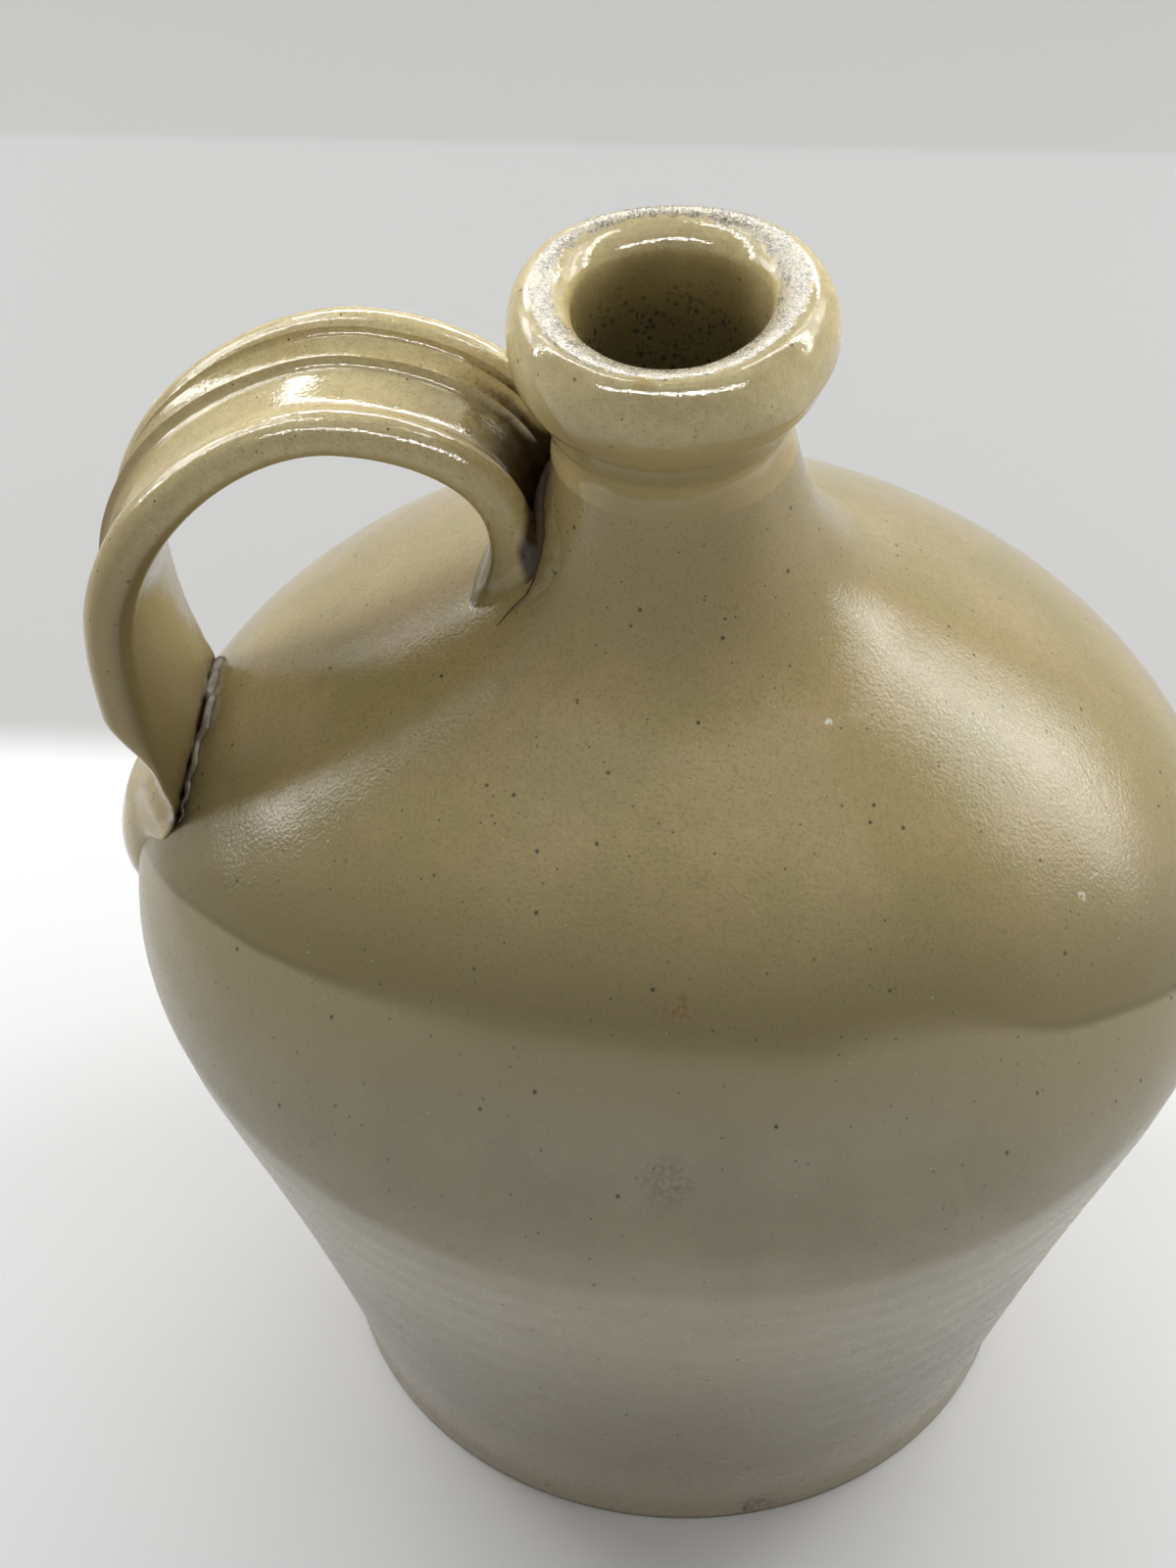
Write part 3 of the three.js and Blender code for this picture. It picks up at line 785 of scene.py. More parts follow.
def strap_draped(place):
    """Strap places where it lies on the body as a tongue."""
    place = np.atleast_1d(place)[:, None]
    down = CONTACT_DOWN - (place - CONTACT)
    share = within((CONTACT_DOWN - down) / (CONTACT_DOWN - TIP_DOWN))
    half = strap_half_spacing(place / LINE_LENGTH) + ROLL_RADIUS
    wing = 1 - 0.3 * smooth(share, 0.1, 0.34)
    round_end = np.sqrt(within(1 - share ** 2.6))
    width = half * wing * mix(0.12, 1, round_end)
    reach = SECTION_SHARE * strap_half_spacing(place / LINE_LENGTH) + SECTION_EXTRA
    across = reach / half
    thick = within((SECTION_HEIGHT + ROLL_RADIUS) / THICKNESS)
    dome = within(1 - np.abs(across) ** 2.2) ** 0.8
    is_outside = SECTION_HEIGHT > -ROLL_RADIUS * 0.5
    thick = mix(thick, np.where(is_outside, np.maximum(dome, 0.02), 0), smooth(share, 0.05, 0.4))
    proud = mix(*TONGUE_HEIGHTS, smooth(share, 0, 0.3)) * within(1 - share ** 3.2) ** 0.6
    pressed = smooth(np.abs(across), *THUMB_EDGE_SHARES) * (1 - smooth(share, 0.15, 0.4))
    edge = mix(1, THUMB_LEFT_SHARE, pressed)
    stand = -TONGUE_SINK + thick * edge * (proud + TONGUE_SINK)
    radius = outline_at(down)[0]
    angle = TONGUE_ANGLE + across * width / radius
    return on_surface(down + 0 * across, angle, stand)


def strap_rows():
    """The whole strap as rows of section points, from the fillet at its root to the tip of its tongue."""
    columns = np.arange(len(SECTION_SHARE))
    probe = np.linspace(ROOT_START, ROOT_FREE, 100)
    gap = depth_of(strap_free(probe))
    last_inside = (gap <= 0)[::-1].argmax(0)
    index = np.clip(len(probe) - 1 - last_inside, 0, len(probe) - 2)
    low, high = gap[index, columns], gap[index + 1, columns]
    touch = probe[index] + (probe[1] - probe[0]) * within(-low / np.maximum(high - low, 1e-9))
    foot = strap_free(touch[None])[0]
    middle = foot.mean(0)
    _, angle, height = trued(foot)
    place = place_of_height(height)
    out = unit(on_surface(place, angle, 1.0) - on_surface(place, angle, 0.0))
    away = unit(foot - middle)
    level = unit(away - (away * out).sum(-1, keepdims=True) * out)
    outer_side = smooth((middle - foot)[:, 0], *ROOT_OUTER)
    front_side = smooth((middle - foot)[:, 1], *ROOT_FRONT)
    neck_fillet, shoulder_fillet, front_fillet = ROOT_FILLETS
    fillet = neck_fillet + shoulder_fillet * outer_side + front_fillet * front_side * (1 - outer_side)
    start = touch + fillet
    _, angle, height = trued(foot + level * fillet[:, None])
    place = place_of_height(height)
    buried = on_surface(place, angle, -ROOT_SINK) - level * ROOT_SINK
    rim = on_surface(place, angle, -ROOT_RIM_SINK)
    lifted = strap_free(start[None])[0]
    rows = [buried, rim]
    for t in np.linspace(0, 1, 9)[1:]:
        rows.append((1 - t) ** 2 * rim + 2 * (1 - t) * t * foot + t ** 2 * lifted)
    rows += [strap_free(mix(start, ROOT_FREE, t)[None])[0] for t in np.linspace(0, 1, 21)[1:-1]]
    free_places = np.arange(ROOT_FREE, DRAPE_FULL, STRAP_SPACING)
    weight = smooth(free_places, DRAPE_START, DRAPE_FULL)[:, None, None]
    rows += list(mix(strap_free(free_places), strap_draped(free_places), weight))
    rows += list(strap_draped(np.linspace(DRAPE_FULL, CONTACT + CONTACT_DOWN - TIP_DOWN, 50)[1:]))
    return np.array(rows)


def meeting_line(rows, columns, stand):
    """Where columns of the strap first come close to the body, walking along the rows."""
    close = depth_of(rows[:, columns]) < stand
    return rows[close.argmax(0), columns]


def distance_to(places, line):
    return np.sqrt(((places[:, None, :] - line[None]) ** 2).sum(-1).min(1))


def stain_at(distance, stains):
    return sum(share * np.exp(-(distance / reach) ** 2) for share, reach in stains)


STRAP_ROWS = strap_rows()
UPPER_COLUMNS = np.flatnonzero(SECTION_HEIGHT > MEETING_HEIGHTS[0])
LOWER_COLUMNS = np.flatnonzero(SECTION_HEIGHT < MEETING_HEIGHTS[1])
LOWER_COLUMNS = np.roll(LOWER_COLUMNS, -1 - np.flatnonzero(np.diff(LOWER_COLUMNS) > 1)[0])
ROOT_LINE = meeting_line(STRAP_ROWS[ROOT_ROWS::-1], UPPER_COLUMNS, MEETING_GAPS[0])
CORNER_LINE = meeting_line(STRAP_ROWS[CORNER_ROWS:], LOWER_COLUMNS, MEETING_GAPS[1])


def strap_object():
    rows = STRAP_ROWS
    places, faces = capped(rows, rows[0].mean(0), rows[-1].mean(0))
    obj = mesh_object("reeded_strap", places, faces, sharp=math.radians(50))
    upper = smooth(SECTION_HEIGHT, *UPPER_FACE)
    channel = smooth(SECTION_HEIGHT, *CHANNEL_FLOOR) * (np.abs(SECTION_SHARE) < CHANNEL_EDGE_SHARE) * upper
    depth = depth_of(rows[:ROOT_ROWS])
    stain = stain_at(distance_to(places, CORNER_LINE)[:-2].reshape(rows.shape[:2]), CORNER_STAINS)
    stain[:ROOT_ROWS] += upper * smooth(depth, *STRAP_STAIN)
    stain[:ROOT_ROWS] += channel * smooth(depth, *CHANNEL_STAIN) * CHANNEL_STAIN_SHARE
    with_value(obj, "stain", np.r_[within(stain).ravel(), 0, 0])
    # Share of the underside, which the strap's material darkens as painted shade.
    under = np.repeat(smooth(SECTION_HEIGHT, *UNDER_FACE)[None], len(rows), 0)
    with_value(obj, "under", np.r_[under.ravel(), 0, 0])
    return obj


# Slip and smeared clay where the strap is joined

def tube_mesh(centres, radii, steps=12):
    """Places and faces of a lumpy closed roll of clay along a row of centres."""
    way = unit(np.gradient(centres, axis=0))
    side = unit(np.cross(way, np.array([0, 0, 1.0])))
    up = np.cross(side, way)
    turn = np.linspace(0, 2 * np.pi, steps, endpoint=False)
    ring = side[:, None] * np.cos(turn)[None, :, None] + up[:, None] * np.sin(turn)[None, :, None]
    count = np.arange(len(centres))[:, None]
    lumps = 1 + 0.07 * np.sin(count * 0.45 + 2 * turn) + 0.04 * np.sin(count * 1.3 + turn)
    rows = centres[:, None] + ring * (radii[:, None] * lumps)[..., None]
    return capped(rows, centres[0], centres[-1])


def resampled(line, count):
    lengths = np.r_[0, np.cumsum(np.linalg.norm(np.diff(line, axis=0), axis=1))]
    keep = np.r_[True, np.diff(lengths) > 1e-6]
    places = np.linspace(0, lengths[-1], count)
    return sampled(places, lengths[keep], line[keep])


def laid(line, stand):
    """A line moved to a height over the thrown surface."""
    _, angle, height = trued(line)
    return on_surface(place_of_height(height), angle, stand)


def roll_object(name, parts):
    """One piece made of rolls, each as (line, radius at its start, radius at its end, stand)."""
    places, faces = np.empty((0, 3)), []
    for line, start, end, stand in parts:
        centres = laid(resampled(line, ROLL_COUNT), stand)
        share = np.linspace(0, 1, ROLL_COUNT)
        radii = mix(start, end, share) * np.sqrt(np.clip(1 - np.abs(2 * share - 1) ** 10, 0.02, 1))
        more_places, more_faces = tube_mesh(centres, radii)
        faces += [[corner + len(places) for corner in face] for face in more_faces]
        places = np.vstack([places, more_places])
    return mesh_object(name, places, faces, sharp=math.pi)


def smear_object():
    """Clay wiped up the neck from the front corner of the strap's root."""
    low = resampled(np.array(CRACK_LINE), SMEAR_COUNT)
    high = resampled(np.array(SMEAR_LINE), SMEAR_COUNT)
    across = np.linspace(0, 1, 11)
    ends = np.sin(np.linspace(0, 1, SMEAR_COUNT) * np.pi) ** 0.6
    places = mix(low[:, None], high[:, None], across[None, :, None])
    rise = SMEAR_RISE * np.sin(across * np.pi) ** 0.7 * (1 - 0.5 * across) * ends[:, None]
    lumps = 1 + 0.3 * np.sin(places[..., 2] * 1.3 + places[..., 1] * 0.9)
    outside = laid(places, rise * lumps - SMEAR_SINK)
    inside = laid(places, -3 * SMEAR_SINK)
    count = len(across)
    below = SMEAR_COUNT * count
    faces = grid_faces(SMEAR_COUNT, count, closed_columns=False)
    faces += [[corner + below for corner in face[::-1]] for face in faces]
    index = np.arange(below).reshape(SMEAR_COUNT, count)
    border = np.r_[index[:, 0], index[-1, 1:], index[-2::-1, -1], index[0, -2:0:-1]].tolist()
    faces += [[a, a + below, b + below, b] for a, b in zip(border, border[1:] + border[:1])]
    obj = mesh_object("root_smear", np.stack([outside, inside]), faces, sharp=math.pi)
    stain = 0.1 + 0.35 * (1 - across) ** 2 + 0 * rise
    with_value(obj, "stain", np.stack([stain, stain]))
    return obj


# Materials

def seen_rays(tree):
    """1 for rays that show the backdrop, straight, mirrored or through glass; 0 for others."""
    rays = tree.nodes.new("ShaderNodeLightPath").outputs
    seen = rays["Is Camera Ray"]
    for name in ("Is Glossy Ray", "Is Transmission Ray"):
        either = tree.nodes.new("ShaderNodeMath")
        either.operation = "MAXIMUM"
        tree.links.new(seen, either.inputs[0])
        tree.links.new(rays[name], either.inputs[1])
        seen = either.outputs[0]
    return seen


class Nodes:
    """A short way to build a material's node tree."""

    def __init__(self, name):
        self.material = bpy.data.materials.new(name)
        self.material.use_nodes = True
        self.tree = self.material.node_tree
        self.tree.nodes.clear()
        self.place = self.tree.nodes.new("ShaderNodeTexCoord").outputs["Object"]

    def node(self, kind, settings=None, **inputs):
        node = self.tree.nodes.new(kind)
        for key, value in (settings or {}).items():
            setattr(node, key, value)
        for key, value in inputs.items():
            self.link(value, node.inputs[key])
        return node

    def link(self, value, socket):
        if isinstance(value, bpy.types.NodeSocket):
            self.tree.links.new(value, socket)
        elif socket.type == "RGBA":
            socket.default_value = (*value, 1)
        else:
            socket.default_value = value

    def fed(self, node, *values, start=0):
        for place, value in enumerate(values, start):
            self.link(value, node.inputs[place])
        return node

    def math(self, operation, first, second=0.0):
        return self.fed(self.node("ShaderNodeMath", {"operation": operation}), first, second).outputs[0]

    def plus(self, *values):
        total = values[0]
        for value in values[1:]:
            total = self.math("ADD", total, value)
        return total

    def times(self, *values):
        total = values[0]
        for value in values[1:]:
            total = self.math("MULTIPLY", total, value)
        return total

    def apart(self, first, second):
        return self.math("ABSOLUTE", self.math("SUBTRACT", first, second))

    def reach(self, x, y):
        return self.math("SQRT", self.plus(self.times(x, x), self.times(y, y)))

    def vector(self, operation, first, second):
        node = self.fed(self.node("ShaderNodeVectorMath", {"operation": operation}), first, second)
        return node.outputs["Value" if operation in ("DOT_PRODUCT", "DISTANCE") else "Vector"]

    def axes(self):
        return self.node("ShaderNodeSeparateXYZ", Vector=self.place).outputs

    def noise(self, scale, detail=3.0, roughness=0.5):
        settings = {"Scale": scale, "Detail": detail, "Roughness": roughness}
        return self.node("ShaderNodeTexNoise", Vector=self.place, **settings).outputs["Fac"]

    def ramp(self, value, low, high):
        """From 0 at low to 1 at high, with soft ends."""
        node = self.node("ShaderNodeMapRange", {"interpolation_type": "SMOOTHSTEP"}, Value=value)
        self.link(low, node.inputs["From Min"])
        self.link(high, node.inputs["From Max"])
        return node.outputs["Result"]

    def span(self, value, ends):
        """A ramp between two lengths in millimetres."""
        return self.ramp(value, *(end * MM for end in ends))

    def cloud(self, scale, detail, roughness, low, high):
        """A ramp over noise."""
        return self.ramp(self.noise(scale, detail, roughness), low, high)

    def waver(self, scale, detail, roughness, height):
        """Noise about zero; height is the length in millimetres from its lowest to its highest."""
        return self.times(self.math("SUBTRACT", self.noise(scale, detail, roughness), 0.5), height * MM)

    def spots(self, spacing, radius, share):
        """Round spots of a radius in millimetres, in a share of cells as wide as the spacing."""
        cells = self.node("ShaderNodeTexVoronoi", Vector=self.place, Scale=1 / (spacing * MM))
        near = self.ramp(cells.outputs["Distance"], radius / spacing, radius / spacing * 0.4)
        chance = self.node("ShaderNodeSeparateColor", Color=cells.outputs["Color"]).outputs["Red"]
        return self.math("MULTIPLY", near, self.math("LESS_THAN", chance, share))

    def round_mark(self, centre, radius, blur):
        """A soft round mark at a place in space."""
        distance = self.vector("DISTANCE", self.place, tuple(np.array(centre) * MM))
        return self.ramp(distance, (radius + blur) * MM, (radius - blur) * MM)

    def line_mark(self, start, end, width):
        """A thin line between two places in space."""
        start, end = Vector(start) * MM, Vector(end) * MM
        way = end - start
        gone = self.vector("SUBTRACT", self.place, start)
        done = self.vector("DOT_PRODUCT", gone, way / way.length_squared)
        share = self.node("ShaderNodeClamp", Value=done).outputs["Result"]
        shares = self.node("ShaderNodeCombineXYZ", X=share, Y=share, Z=share).outputs["Vector"]
        nearest = self.node("ShaderNodeVectorMath", {"operation": "MULTIPLY_ADD"})
        nearest = self.fed(nearest, shares, way, start).outputs["Vector"]
        distance = self.vector("DISTANCE", self.place, nearest)
        return self.ramp(distance, width * MM, width * MM * 0.4)

    def colour(self, first, second, *shares):
        """The first colour, and the second one by the product of the shares."""
        node = self.node("ShaderNodeMix", {"data_type": "RGBA"}, Factor=self.times(*shares))
        return self.fed(node, first, second, start=6).outputs[2]

    def attribute(self, name):
        return self.node("ShaderNodeAttribute", {"attribute_name": name}).outputs["Fac"]

    def bump(self, height, strength, distance, normal=None):
        node = self.node("ShaderNodeBump", Strength=strength, Distance=distance * MM, Height=height)
        if normal is not None:
            self.link(normal, node.inputs["Normal"])
        return node.outputs["Normal"]

    def finish(self, colour, roughness, normal=None, glow=None):
        shader = self.node("ShaderNodeBsdfPrincipled", {}, **{"Base Color": colour, "Roughness": roughness})
        shader.inputs["IOR"].default_value = 1.5
        if glow is not None:
            self.link(PAPER, shader.inputs["Emission Color"])
            self.link(glow, shader.inputs["Emission Strength"])
        if normal is not None:
            self.link(normal, shader.inputs["Normal"])
        out = self.tree.nodes.new("ShaderNodeOutputMaterial")
        self.tree.links.new(shader.outputs["BSDF"], out.inputs["Surface"])
        return self.material


def specked(n, colour, dark=1.0):
    """Soft brown halos, iron specks of three sizes and a few white specks that are painted glints."""
    colour = n.colour(colour, RUST, n.spots(*HALOS), 0.3 * dark)
    for *size, strength in SPECKS:
        colour = n.colour(colour, IRON, n.spots(*size), strength * dark)
    # Painted glints: a few small white specks.
    return n.colour(colour, CHALK, n.spots(*PAINTED_PIN_GLINTS), 0.6)


def honey_glaze(n, greener=HONEY_GREEN, pinker=HONEY_PINK):
    """Mottled honey-tan glaze, pinker and greener by turns."""
    broad = n.cloud(48, 4, 0.55, 0.36, 0.64)
    return n.colour(n.colour(greener, pinker, broad), HONEY_DEEP, n.cloud(420, 3, 0.6, 0.3, 0.7), 0.3)


def grained(n, colour, strength):
    """Fine pits that show as darker grain."""
    return n.colour(colour, OLIVE_DARK, n.cloud(GRAIN_SCALE, 2, 0.6, 0.52, 0.66), strength)


def peel(n, strength, wave_strength=1.0):
    """Slow waves under a fine orange peel."""
    waves = n.bump(n.noise(130, 2, 0.5), wave_strength, SLOW_DEPTH)
    return n.bump(n.noise(PEEL_SCALE, 2, 0.55), strength, PEEL_DEPTH, waves)


def body_place(azimuth, height):
    return on_surface(place_of_height(height), math.radians(azimuth), 0)


def body_glaze():
    n = Nodes("two_tone_glaze")
    x, y, z = n.axes()
    forward = n.plus(n.times(x, math.cos(DIP_ANGLE)), n.times(y, math.sin(DIP_ANGLE)))
    hump = n.span(n.apart(x, DIP_HUMP_PLACE * MM), (DIP_HUMP_WIDTH, 0))
    wave = n.waver(26, 3, 0.5, DIP_WAVE)
    line = n.plus(n.times(forward, DIP_SLOPE), DIP_HEIGHT * MM, n.times(hump, DIP_HUMP * MM), wave)
    above = n.math("SUBTRACT", z, line)
    side = n.span(n.math("ABSOLUTE", x), DIP_SIDES)
    upper = n.span(above, GLOSS_GROWS)

    # Partly the glaze's own darker edge, partly painted shade where the belly turns down.
    honey = n.colour(honey_glaze(n), OLIVE, n.span(above, HONEY_DARKENS))
    honey = n.colour(honey, HONEY_DEEP, n.span(z, NECK_DARKENS), 0.8)
    cream = n.colour(CREAM_GREEN, CREAM, n.cloud(60, 4, 0.55, 0.35, 0.65))
    run_end = n.math("SUBTRACT", -RUN_DOWN_LENGTH * MM, n.times(side, RUN_DOWN_MORE * MM))
    cream = n.colour(cream, RUN_DOWN, n.ramp(above, run_end, -RUN_DOWN_START * MM))
    cream = n.colour(cream, MOSS, n.spots(*MOSS_SPOTS), 0.22)
    # Painted shade: the cream darkens toward the bottom.
    cream = n.colour(cream, CREAM_IN_PAINTED_SHADE, n.span(z, PAINTED_LOW_SHADE))
    cream = n.colour(cream, FOOT_PINK, n.span(z, FOOT_TURNS_PINK), 0.9)
    softness = n.plus(DIP_SOFTNESS[0] * MM, n.times(n.math("SUBTRACT", 1.0, side), DIP_SOFTNESS[1] * MM))
    colour = n.colour(cream, honey, n.ramp(above, n.times(softness, -1.0), softness))
    edge = n.span(n.apart(above, DIP_LINE * MM), (DIP_LINE_WIDTH, 0))
    colour = n.colour(colour, DIP_EDGE, edge, n.plus(0.12, n.times(side, 0.4)))
    colour = grained(n, colour, n.plus(0.06, n.times(n.span(above, GRAIN_GROWS), 0.22)))
    colour = specked(n, colour, 0.9)

    for place, radius, blur, mark_colour, strength in ROUND_MARKS:
        mark = n.round_mark(body_place(*place), radius, blur)
        colour = n.colour(colour, mark_colour, mark, n.cloud(900, 2, 0.6, 0.42, 0.58), strength)
    for start, end, width, mark_colour, strength in LINE_MARKS:
        mark = n.line_mark(body_place(*start), body_place(*end), width)
        colour = n.colour(colour, mark_colour, mark, strength)

    colour = n.colour(colour, BROWN, n.attribute("stain"), n.cloud(300, 3, 0.6, 0.15, 0.5))
    colour = n.colour(colour, OLIVE_DARK, n.span(z, BOTTOM_DARKENS), 0.8)
    rough = n.plus(0.24, n.times(n.noise(90, 3, 0.6), 0.07), n.times(upper, -0.12))
    normal = peel(n, n.plus(0.04, n.times(upper, 0.96)), n.plus(0.06, n.times(upper, 0.6)))
    return n.finish(colour, rough, normal)


def strap_glaze():
    n = Nodes("strap_glaze")
    z = n.axes()["Z"]
    under = n.attribute("under")
    stain = n.attribute("stain")
    glaze = grained(n, honey_glaze(n, STRAW, STRAW_PINK), 0.25)
    # Painted shade: the strap darkens down its leg and on its underside.
    painted_shade = n.math("MAXIMUM", n.times(n.span(z, PAINTED_LEG_SHADE), 0.95), n.times(under, 0.9))
    colour = specked(n, n.colour(glaze, HONEY_DEEP, painted_shade), 1.2)
    # Painted shade on the inner face of the lower leg.
    colour = n.colour(colour, OLIVE, n.times(under, n.span(z, PAINTED_INNER_LEG_SHADE)), 0.9)
    blotch = n.times(n.ramp(stain, 0.02, 0.4), n.cloud(240, 4, 0.65, 0.5, 0.62))
    colour = n.colour(colour, RUST, blotch, 0.6)
    colour = n.colour(colour, BROWN, n.ramp(stain, 0.05, 0.75), n.cloud(200, 3, 0.6, 0.1, 0.42))
    return n.finish(colour, n.plus(0.04, n.times(n.noise(110, 3, 0.6), 0.05)), peel(n, 0.8))


def lip_glaze():
    n = Nodes("lip_glaze")
    x, y, z = n.axes()
    beside = n.plus(x, axis_drift(LIP_CROWN[1]) * MM)
    radius = n.reach(beside, y)
    ragged = n.waver(420, 4, 0.65, RING_RAGGED)
    stretched = n.times(n.math("DIVIDE", n.times(y, y), radius), -RING_STRETCH)
    outer_edge = n.plus(radius, stretched, ragged)
    hole_reach = n.reach(n.plus(beside, -RING_HOLE[0] * MM), n.plus(y, -RING_HOLE[1] * MM))
    inner_edge = n.plus(hole_reach, ragged)
    inner, outer = RING_RADII
    worn = n.times(n.span(outer_edge, (outer + RING_BLUR, outer - RING_BLUR)),
                   n.span(inner_edge, (inner - RING_BLUR, inner + RING_BLUR)), n.span(z, RING_LOW))

    colour = specked(n, grained(n, honey_glaze(n, STRAW, STRAW_PINK), 0.2), 0.9)
    # Painted shade: the lip's lower roll darkens where it faces down.
    colour = n.colour(colour, HONEY_DEEP, n.span(z, PAINTED_LIP_UNDER_SHADE), 0.95)
    colour = n.colour(colour, honey_glaze(n), n.span(z, LIP_MEETS_NECK), 0.6)
    # Painted shade in the cove under the lip, which faces down.
    colour = n.colour(colour, OLIVE, n.span(z, COVE_SHADE_LOW), n.span(z, COVE_SHADE_HIGH), 0.4)
    # Inside the mouth: the bore's own darker glaze, and deeper down painted shade.
    inside = n.times(n.span(radius, BORE_RADII), n.span(z, BORE_DARKENS))
    colour = n.colour(colour, n.colour(BORE, OLIVE_DARK, n.span(z, PAINTED_BORE_SHADE)), inside)
    clump = n.cloud(260, 3, 0.6, 0.42, 0.56)
    soot = n.math("MAXIMUM", n.times(n.cloud(1100, 3, 0.7, 0.54, 0.6), clump), n.spots(*SOOT_SPOTS))
    colour = n.colour(colour, SOOT, inside, soot, n.span(z, SOOT_GROWS), 0.85)
    fine_grit = n.times(n.cloud(2000, 2, 0.7, 0.47, 0.54), n.plus(0.35, n.times(clump, 0.65)))
    grit = n.math("MAXIMUM", fine_grit, n.spots(*GRIT_SPOTS))
    # White specks on the bare ring are partly white grit and partly painted glints.
    bare = n.colour(n.colour(BISCUIT, CHALK, n.spots(*CHALK_AND_GLINT_SPOTS), 0.8), GRIT, grit, 0.93)
    colour = n.colour(colour, bare, worn, n.cloud(700, 3, 0.6, 0.28, 0.42))
    amber = thrown(AMBER_PLACE[0], math.radians(AMBER_AZIMUTH), AMBER_PLACE[1])
    colour = n.colour(colour, AMBER, n.round_mark(amber, AMBER_RADIUS, AMBER_BLUR), 0.6)
    rough = n.plus(0.04, n.times(n.noise(110, 3, 0.6), 0.05), n.times(worn, 0.07))
    pits = n.times(n.noise(GRAIN_SCALE, 3, 0.7), worn)
    return n.finish(colour, rough, n.bump(pits, 0.6, PIT_DEPTH, peel(n, 0.6)))


def slip_material():
    n = Nodes("lute_slip")
    colour = n.colour(SLIP_BROWN, SLIP_GREY, n.cloud(160, 4, 0.6, 0.36, 0.56))
    return n.finish(colour, 0.3, n.bump(n.noise(500, 3, 0.6), 0.5, SLIP_DEPTH))


def crack_material():
    n = Nodes("dark_crack")
    return n.finish(n.colour(BROWN, RUST, n.noise(500, 3, 0.6), 0.2), 0.7)


def floor_material():
    """Pale paper that keeps the object's shadow and stays pale far away; brighter in front by painted light
    and darker behind by painted shade.
    """
    n = Nodes("pale_floor")
    x, y, _ = n.axes()
    further = n.plus(y, n.times(x, PAPER_EDGE_SLOPE), n.waver(3, 2, 0.5, PAPER_EDGE_WAVE))
    # Painted light: the paper is brighter in front of the object.
    near = n.colour(PAPER, PAPER_PAINTED_LIGHT, n.span(y, PAPER_BRIGHTENS))
    # Painted shade of the box's back wall and of the room beyond it.
    colour = n.colour(near, PAPER_PAINTED_SHADE, n.span(further, PAPER_EDGE))
    colour = n.colour(colour, PAPER_TOP_PAINTED_SHADE, n.span(y, PAPER_TOP_EDGE))
    fold = n.span(n.apart(y, PAPER_FOLD_PLACE * MM), (PAPER_FOLD_WIDTH, 0))
    colour = n.colour(colour, PAPER_FOLD, fold, 0.4)
    glow = n.times(n.span(n.reach(x, y), FLOOR_FADE), seen_rays(n.tree), BACKDROP_STRENGTH)
    return n.finish(colour, 0.55, n.bump(n.noise(2200, 2, 0.5), 0.3, PAPER_DEPTH), glow)


# Scene

def add_camera():
    yaw, pitch, roll = CAMERA_YAW, CAMERA_PITCH, CAMERA_ROLL
    ahead = Vector((math.sin(yaw) * math.cos(pitch), math.cos(yaw) * math.cos(pitch), -math.sin(pitch)))
    right = Vector((math.cos(yaw), -math.sin(yaw), 0))
    up = right.cross(ahead)
    rolled_right = right * math.cos(roll) + up * math.sin(roll)
    rolled_up = up * math.cos(roll) - right * math.sin(roll)
    data = bpy.data.cameras.new("camera")
    data.lens = CAMERA_LENS
    data.sensor_width = CAMERA_SENSOR
    camera = bpy.data.objects.new("camera", data)
    turn = Matrix((rolled_right, rolled_up, -ahead)).transposed()
    camera.matrix_world = Matrix.Translation(Vector(CAMERA_PLACE) * MM) @ turn.to_4x4()
    bpy.context.scene.collection.objects.link(camera)
    bpy.context.scene.camera = camera


def add_lamp(name, place, target, size, radiance):
    """A flat lamp of a size in millimetres; its radiance is 1 where it looks white."""
    data = bpy.data.lights.new(name, "AREA")
    data.shape = "RECTANGLE"
    data.size = size[0] * MM
    data.size_y = size[1] * MM
    data.energy = radiance * math.pi * data.size * data.size_y
    lamp = bpy.data.objects.new(name, data)
    lamp.location = Vector(place) * MM
    lamp.rotation_euler = (Vector(target) - Vector(place)).to_track_quat("-Z", "Y").to_euler()
    lamp.visible_camera = False
    bpy.context.scene.collection.objects.link(lamp)
    return lamp


def far_place(start, azimuth, elevation):
    """A far place seen from a start in a direction."""
    azimuth, elevation = math.radians(azimuth), math.radians(elevation)
    level = math.cos(elevation)
    way = Vector((level * math.cos(azimuth), level * math.sin(azimuth), math.sin(elevation)))
    return Vector(start) + way * PATCH_DISTANCE


def add_lamps():
    for settings in LAMPS:
        add_lamp(*settings)
    add_lamp(*FRONT_LAMP).visible_glossy = False
    for name, start, azimuth, elevation, spread, radiance in PATCHES:
        size = [2 * PATCH_DISTANCE * math.tan(math.radians(angle)) for angle in spread]
        add_lamp(name, far_place(start, azimuth, elevation), start, size, radiance)


def add_rim_lamps(*objects):
    """Strips that are mirrored in the given objects only."""
    receivers = bpy.data.collections.new("rims")
    for obj in objects:
        receivers.objects.link(obj)
    for settings in RIM_LAMPS:
        lamp = add_lamp(*settings)
        lamp.visible_diffuse = False
        lamp.light_linking.receiver_collection = receivers


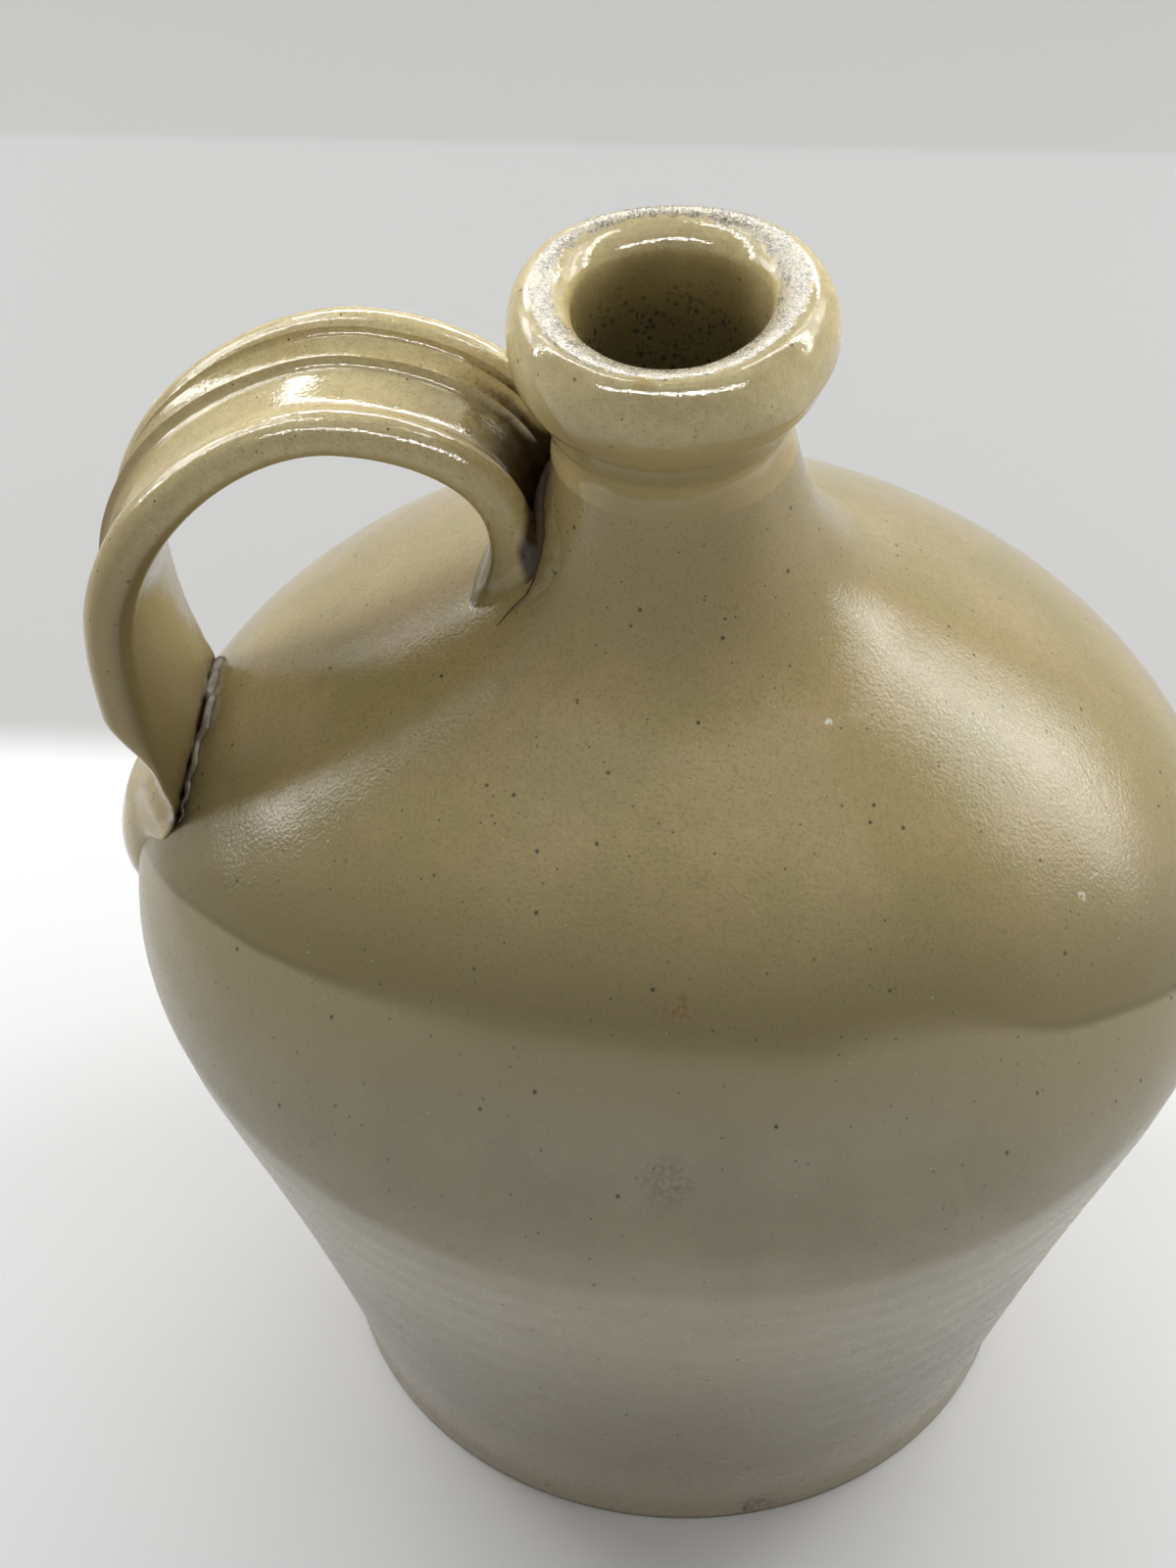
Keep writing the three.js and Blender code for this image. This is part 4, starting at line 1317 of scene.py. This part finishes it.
def add_floor():
    corners = [(x * FLOOR_HALF, y * FLOOR_HALF, 0) for x, y in ((-1, -1), (1, -1), (1, 1), (-1, 1))]
    floor = mesh_object("floor", corners, [[0, 1, 2, 3]])
    floor.data.materials.append(floor_material())
    floor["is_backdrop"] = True


def add_world():
    world = bpy.data.worlds.new("studio")
    bpy.context.scene.world = world
    world.use_nodes = True
    back = world.node_tree.nodes["Background"]
    back.inputs["Color"].default_value = (*PAPER, 1)
    strength = world.node_tree.nodes.new("ShaderNodeMapRange")
    strength.inputs["To Min"].default_value = WORLD_STRENGTH
    strength.inputs["To Max"].default_value = BACKDROP_STRENGTH
    world.node_tree.links.new(seen_rays(world.node_tree), strength.inputs["Value"])
    world.node_tree.links.new(strength.outputs["Result"], back.inputs["Strength"])


def dress(obj, material, slot, *nodes):
    obj.data.materials.append(material)
    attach(obj, BODY)
    if nodes:
        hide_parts(*nodes)


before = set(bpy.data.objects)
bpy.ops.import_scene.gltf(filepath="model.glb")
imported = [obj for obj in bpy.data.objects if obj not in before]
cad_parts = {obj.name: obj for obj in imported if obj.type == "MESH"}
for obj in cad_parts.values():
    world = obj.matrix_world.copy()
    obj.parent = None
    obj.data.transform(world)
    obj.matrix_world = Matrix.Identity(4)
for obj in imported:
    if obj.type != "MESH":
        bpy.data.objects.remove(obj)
cad_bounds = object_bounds()
bpy.context.scene.view_settings.view_transform = "Standard"
add_camera()
add_world()
add_floor()
add_lamps()

body = body_object()
body_places = np.array([vertex.co for vertex in body.data.vertices]) / MM
joint_lines = np.vstack([ROOT_LINE, CORNER_LINE])
high_up = body_places[:, 2] > STAIN_LOWEST
joint_distance = np.full(len(body_places), float(FAR_AWAY))
joint_distance[high_up] = distance_to(body_places[high_up], joint_lines)
with_value(body, "stain", stain_at(joint_distance, BODY_STAINS))
body_material = body_glaze()
dress(body, body_material, "upper_glaze", "lower_body", "upper_body")
lip = lip_object()
strap = strap_object()
smear = smear_object()
dress(lip, lip_glaze(), "lip_glaze", "lip_collar")
dress(strap, strap_glaze(), "strap_glaze", "strap_handle")
dress(smear, body_material, "upper_glaze")
add_rim_lamps(lip, strap)
root_parts = [(ROOT_LINE, *ROOT_ROLL), (np.array(CRACK_LINE), *CRACK_ROLL)]
dress(roll_object("root_slip", root_parts), crack_material(), "lute_slip", "root_lute")
corner_parts = [(CORNER_LINE, *CORNER_ROLL)]
dress(roll_object("corner_slip", corner_parts), slip_material(), "lute_slip", "corner_lute")

bounds = {"cad": cad_bounds, "visual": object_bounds()}
bounds = {name: [list(corner) for corner in corners] for name, corners in bounds.items()}
